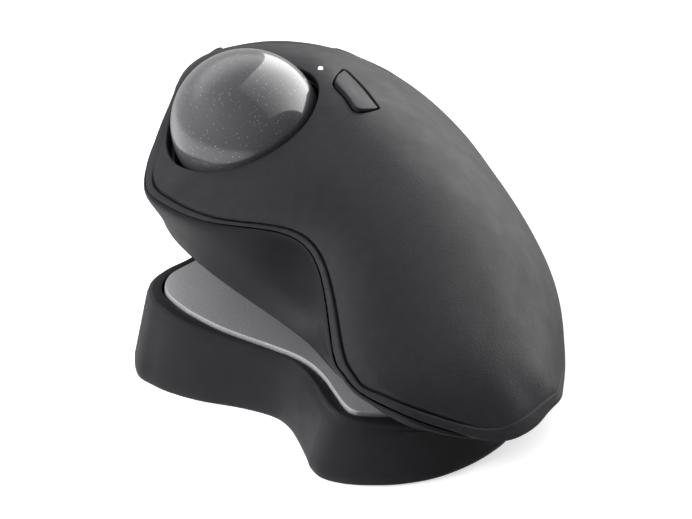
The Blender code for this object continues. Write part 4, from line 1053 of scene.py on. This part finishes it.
def riser_ring(k, inset_foot=0.0, inset_rim=0.0, drop=0.0, z0=None):
    f, r = offset(foot, -inset_foot), offset(rim, -inset_rim)
    top_z = RIDGE - RIM_DROP - r[:, 0] * slope - drop
    z = np.full(len(f), z0) if z0 is not None else (1 - k) * 2.0 + k * top_z
    return np.c_[f + (r - f) * k, z]


rows = [riser_ring(0, 1.6, z0=0.0), riser_ring(0, 0.9, z0=0.05), riser_ring(0, 0.45, z0=0.25), riser_ring(0, 0.2, z0=0.6), riser_ring(0.0, 0.06, z0=1.2), riser_ring(0.02)]
rows += [riser_ring(k) for k in (0.1, 0.2, 0.32, 0.45, 0.6, 0.75, 0.88)]
re = 1.15
for k in range(9):
    q = pi / 2 * k / 8
    rows.append(riser_ring(1.0, 0, re * (1 - cos(q)), re * (1 - sin(q))))
riser = loft("riser_moulding", rows, rubber, WORLD, angle=60)
plate_line = closed_spline(PLATE, NR)
boolean(riser, [flat_prism("c_recess", offset(plate_line, 0.75), -(PLATE_THICK + PAD_THICK + 0.6), 12.0, PLATE_F)])
stand_for(riser, "riser", "riser_rubber", "wedge_riser")

rows = []
pr = 0.15
for k in range(5):
    q = pi / 2 * k / 4
    rows.append(np.c_[offset(plate_line, -pr * (1 - sin(q))), np.full(NR, -PLATE_THICK + pr * (1 - cos(q)))])
for k in range(5):
    q = pi / 2 * k / 4
    rows.append(np.c_[offset(plate_line, -pr * (1 - cos(q))), np.full(NR, -pr * (1 - sin(q)))])
plate = loft("plate_blasted", rows, steel, PLATE_F, angle=30)
boolean(plate, [boxed("c_groove", (-1.9, -44.5, -1.7), (1.9, 27.0, 1.0), PLATE_F)])
stand_for(plate, "hinge_plate", "plate_steel", "base_plate")
pl = offset(plate_line, -0.6)
rows = []
for k in range(4):
    q = pi / 2 * k / 3
    rows.append(np.c_[offset(pl, -0.25 * (1 - sin(q))), np.full(NR, -PLATE_THICK - 0.3 - PAD_THICK + 0.25 * (1 - cos(q)))])
for k in range(4):
    q = pi / 2 * k / 3
    rows.append(np.c_[offset(pl, -0.25 * (1 - cos(q))), np.full(NR, -PLATE_THICK - 0.3 - 0.25 * (1 - sin(q)))])
padding = loft("pad_sheet", rows, pad, PLATE_F, angle=60)
stand_for(padding, "hinge_plate", "pad_rubber", "plate_rubber_pad")

# ---- scroll wheel -----------------------------------------------------------
WHEEL_F = MOUSE @ (Matrix.Translation(Vector(WHEEL_C) * MM) @ TURN_Y.to_4x4())
h = WHEEL_W / 2
prof = [(9.6, h - 0.25), (10.35, h - 0.2), (10.75, h - 0.4), (WHEEL_R - 0.05, h - 0.9), (WHEEL_R - 0.02, h - 1.3), (WHEEL_R, 0.8), (WHEEL_R, 0), (WHEEL_R, -0.8),
        (WHEEL_R - 0.02, -h + 1.3), (WHEEL_R - 0.05, -h + 0.9), (10.75, -h + 0.4), (10.35, -h + 0.2), (9.6, -h + 0.25)]


def tread(a, r, z):
    """Grip grooves across the tyre."""
    if r < 10.8:
        return 0.0
    g = (a * 36 / (2 * pi)) % 1.0
    return -0.45 * max(0.0, 1 - abs(g - 0.5) / 0.2) ** 0.5 if abs(g - 0.5) < 0.2 else 0.0


wheel_tyre = turned("tyre_ribbed", prof, tyre, WHEEL_F, 36 * 10, angle=45, ripple=tread)
stand_for(wheel_tyre, "wheel", "tyre_rubber", "scroll_wheel_tyre")
hub_prof = [(1.6, 1.8), (1.75, 1.9), (3.0, 1.9), (3.2, 1.75), (3.4, 1.1), (3.7, 0.9), (7.3, 0.9), (7.6, 1.1), (7.8, h - 0.7), (8.0, h - 0.5), (9.15, h - 0.5), (9.3, h - 0.65)]
hub = turned("hub_moulded", hub_prof + [(r, -z) for r, z in hub_prof[::-1]], casing, WHEEL_F, 120)
spokes = [cylinder("hole", 1.15, -5, 5, WHEEL_F, (5.5 * cos(k * pi / 3), 5.5 * sin(k * pi / 3), 0), None, 28) for k in range(6)]
boolean(hub, spokes)
stand_for(hub, "wheel", "casing_plastic", "scroll_wheel_hub")

# ---- floor, lights, camera --------------------------------------------------
bm = bmesh.new()
N = 24
g = [[bm.verts.new((-3 + 6 * i / N, -3 + 6 * j / N, -0.0002)) for j in range(N + 1)] for i in range(N + 1)]
for i in range(N):
    for j in range(N):
        bm.faces.new((g[i][j], g[i + 1][j], g[i + 1][j + 1], g[i][j + 1]))
me = bpy.data.meshes.new("floor")
bm.to_mesh(me)
bm.free()
floor = bpy.data.objects.new("floor", me)
bpy.context.scene.collection.objects.link(floor)
fm, nt, b = principled("floor_paper", (0.8, 0.8, 0.8), 0.9, spec=0.1)
co = coords(nt)
vary_color(nt, b, co, (0.8, 0.8, 0.8), 0.01, 8.0)
b.inputs["Emission Color"].default_value = (1, 1, 1, 1)
b.inputs["Emission Strength"].default_value = 0.62
floor.visible_glossy = False
me.materials.append(fm)


def area(name, loc, aim, sx, sy, energy, color=(1, 1, 1)):
    l = bpy.data.lights.new(name, 'AREA')
    l.shape, l.size, l.size_y, l.energy, l.color = 'RECTANGLE', sx, sy, energy, color
    o = bpy.data.objects.new(name, l)
    o.location = loc
    o.rotation_euler = (Vector(aim) - Vector(loc)).to_track_quat('-Z', 'Y').to_euler()
    bpy.context.scene.collection.objects.link(o)
    return o


world = bpy.data.worlds.new("studio")
world.use_nodes = True
bpy.context.scene.world = world
wn = world.node_tree
bg = wn.nodes["Background"]
bg.inputs["Color"].default_value = (1, 1, 1, 1)
bg.inputs["Strength"].default_value = 1.0
tc = wn.nodes.new("ShaderNodeTexCoord")
sx = wn.nodes.new("ShaderNodeSeparateXYZ")
wn.links.new(tc.outputs["Generated"], sx.inputs["Vector"])


def ease(value, a, b, lo, hi):
    r = wn.nodes.new("ShaderNodeMapRange")
    r.interpolation_type = 'SMOOTHSTEP'
    for k, x in (("From Min", a), ("From Max", b), ("To Min", lo), ("To Max", hi)):
        r.inputs[k].default_value = x
    wn.links.new(value, r.inputs["Value"])
    return r.outputs["Result"]


def wmath(op, a, b):
    n = wn.nodes.new("ShaderNodeMath")
    n.operation = op
    for k, x in enumerate((a, b)):
        if isinstance(x, float):
            n.inputs[k].default_value = x
        else:
            wn.links.new(x, n.inputs[k])
    return n.outputs["Value"]


# a dim room that gets lighter away from the front, and a bright table on the left below the horizon
room = ease(sx.outputs["Y"], -0.4, 0.95, 0.10, 0.5)
below = ease(sx.outputs["Z"], -0.16, -0.30, 0.0, 1.0)
leftward = ease(sx.outputs["X"], 0.0, -0.5, 0.0, 0.55)
high = ease(sx.outputs["Z"], 0.2, 0.5, 0.0, 1.0)
behind = ease(sx.outputs["Y"], 0.3, 0.8, 0.0, 0.6)
wall = wmath('ADD', room, wmath('MULTIPLY', high, behind))
wn.links.new(wmath('ADD', wall, wmath('MULTIPLY', below, leftward)), bg.inputs["Strength"])


def panel(name, direction, across, dist, w, h, radiance):
    """Softbox facing the object; its long side runs along the given axis."""
    d, a = Vector(direction).normalized(), Vector(across)
    a = (a - d * a.dot(d)).normalized()
    l = bpy.data.lights.new(name, 'AREA')
    l.shape, l.size, l.size_y, l.energy = 'RECTANGLE', w, h, radiance * pi * w * h
    o = bpy.data.objects.new(name, l)
    o.matrix_world = Matrix.Translation(d * dist + Vector((0, 0, 0.05))) @ Matrix((a, d.cross(a), d)).transposed().to_4x4()
    bpy.context.scene.collection.objects.link(o)
    return o


# one tall softbox, bent over the object and dimmer towards its top: narrow panels side by side
SPAN = Vector((0.499, -0.758, -0.419)).normalized()
LOW = Vector((0.88, 0.46, 0.12)).normalized()
PANELS = 18
STEP = 110.0 / PANELS
for k in range(PANELS):
    turn = -16.0 + STEP * (k + 0.5)
    fade = float(smoothstep(turn, -24.0, -6.0)) * (1 - float(smoothstep(turn, 2.0, 96.0)))
    panel("softbox_%d" % k, Quaternion(SPAN, radians(turn)) @ LOW, SPAN, 0.95, 1.2, 1.9 * tan(radians(STEP / 2)), 0.25 + 2.35 * fade)
left = area("soft_left", (-0.80, 0.05, 0.42), (0, 0, 0.03), 0.7, 0.5, 10.2)
left.visible_glossy = False
front = area("fill_front", (-0.90, -0.12, 0.62), (0, 0, 0.03), 0.7, 0.7, 3.6)
front.visible_glossy = False

cam = bpy.data.cameras.new("camera")
cam.lens, cam.sensor_width = 151.8, 36.0
co_ = bpy.data.objects.new("camera", cam)
co_.location = (-0.2080, -0.5382, 0.3530)
co_.rotation_euler = Vector((0.32442, 0.80297, -0.5)).to_track_quat('-Z', 'Y').to_euler()
bpy.context.scene.collection.objects.link(co_)
bpy.context.scene.camera = co_
bpy.context.scene.view_settings.view_transform = 'Standard'
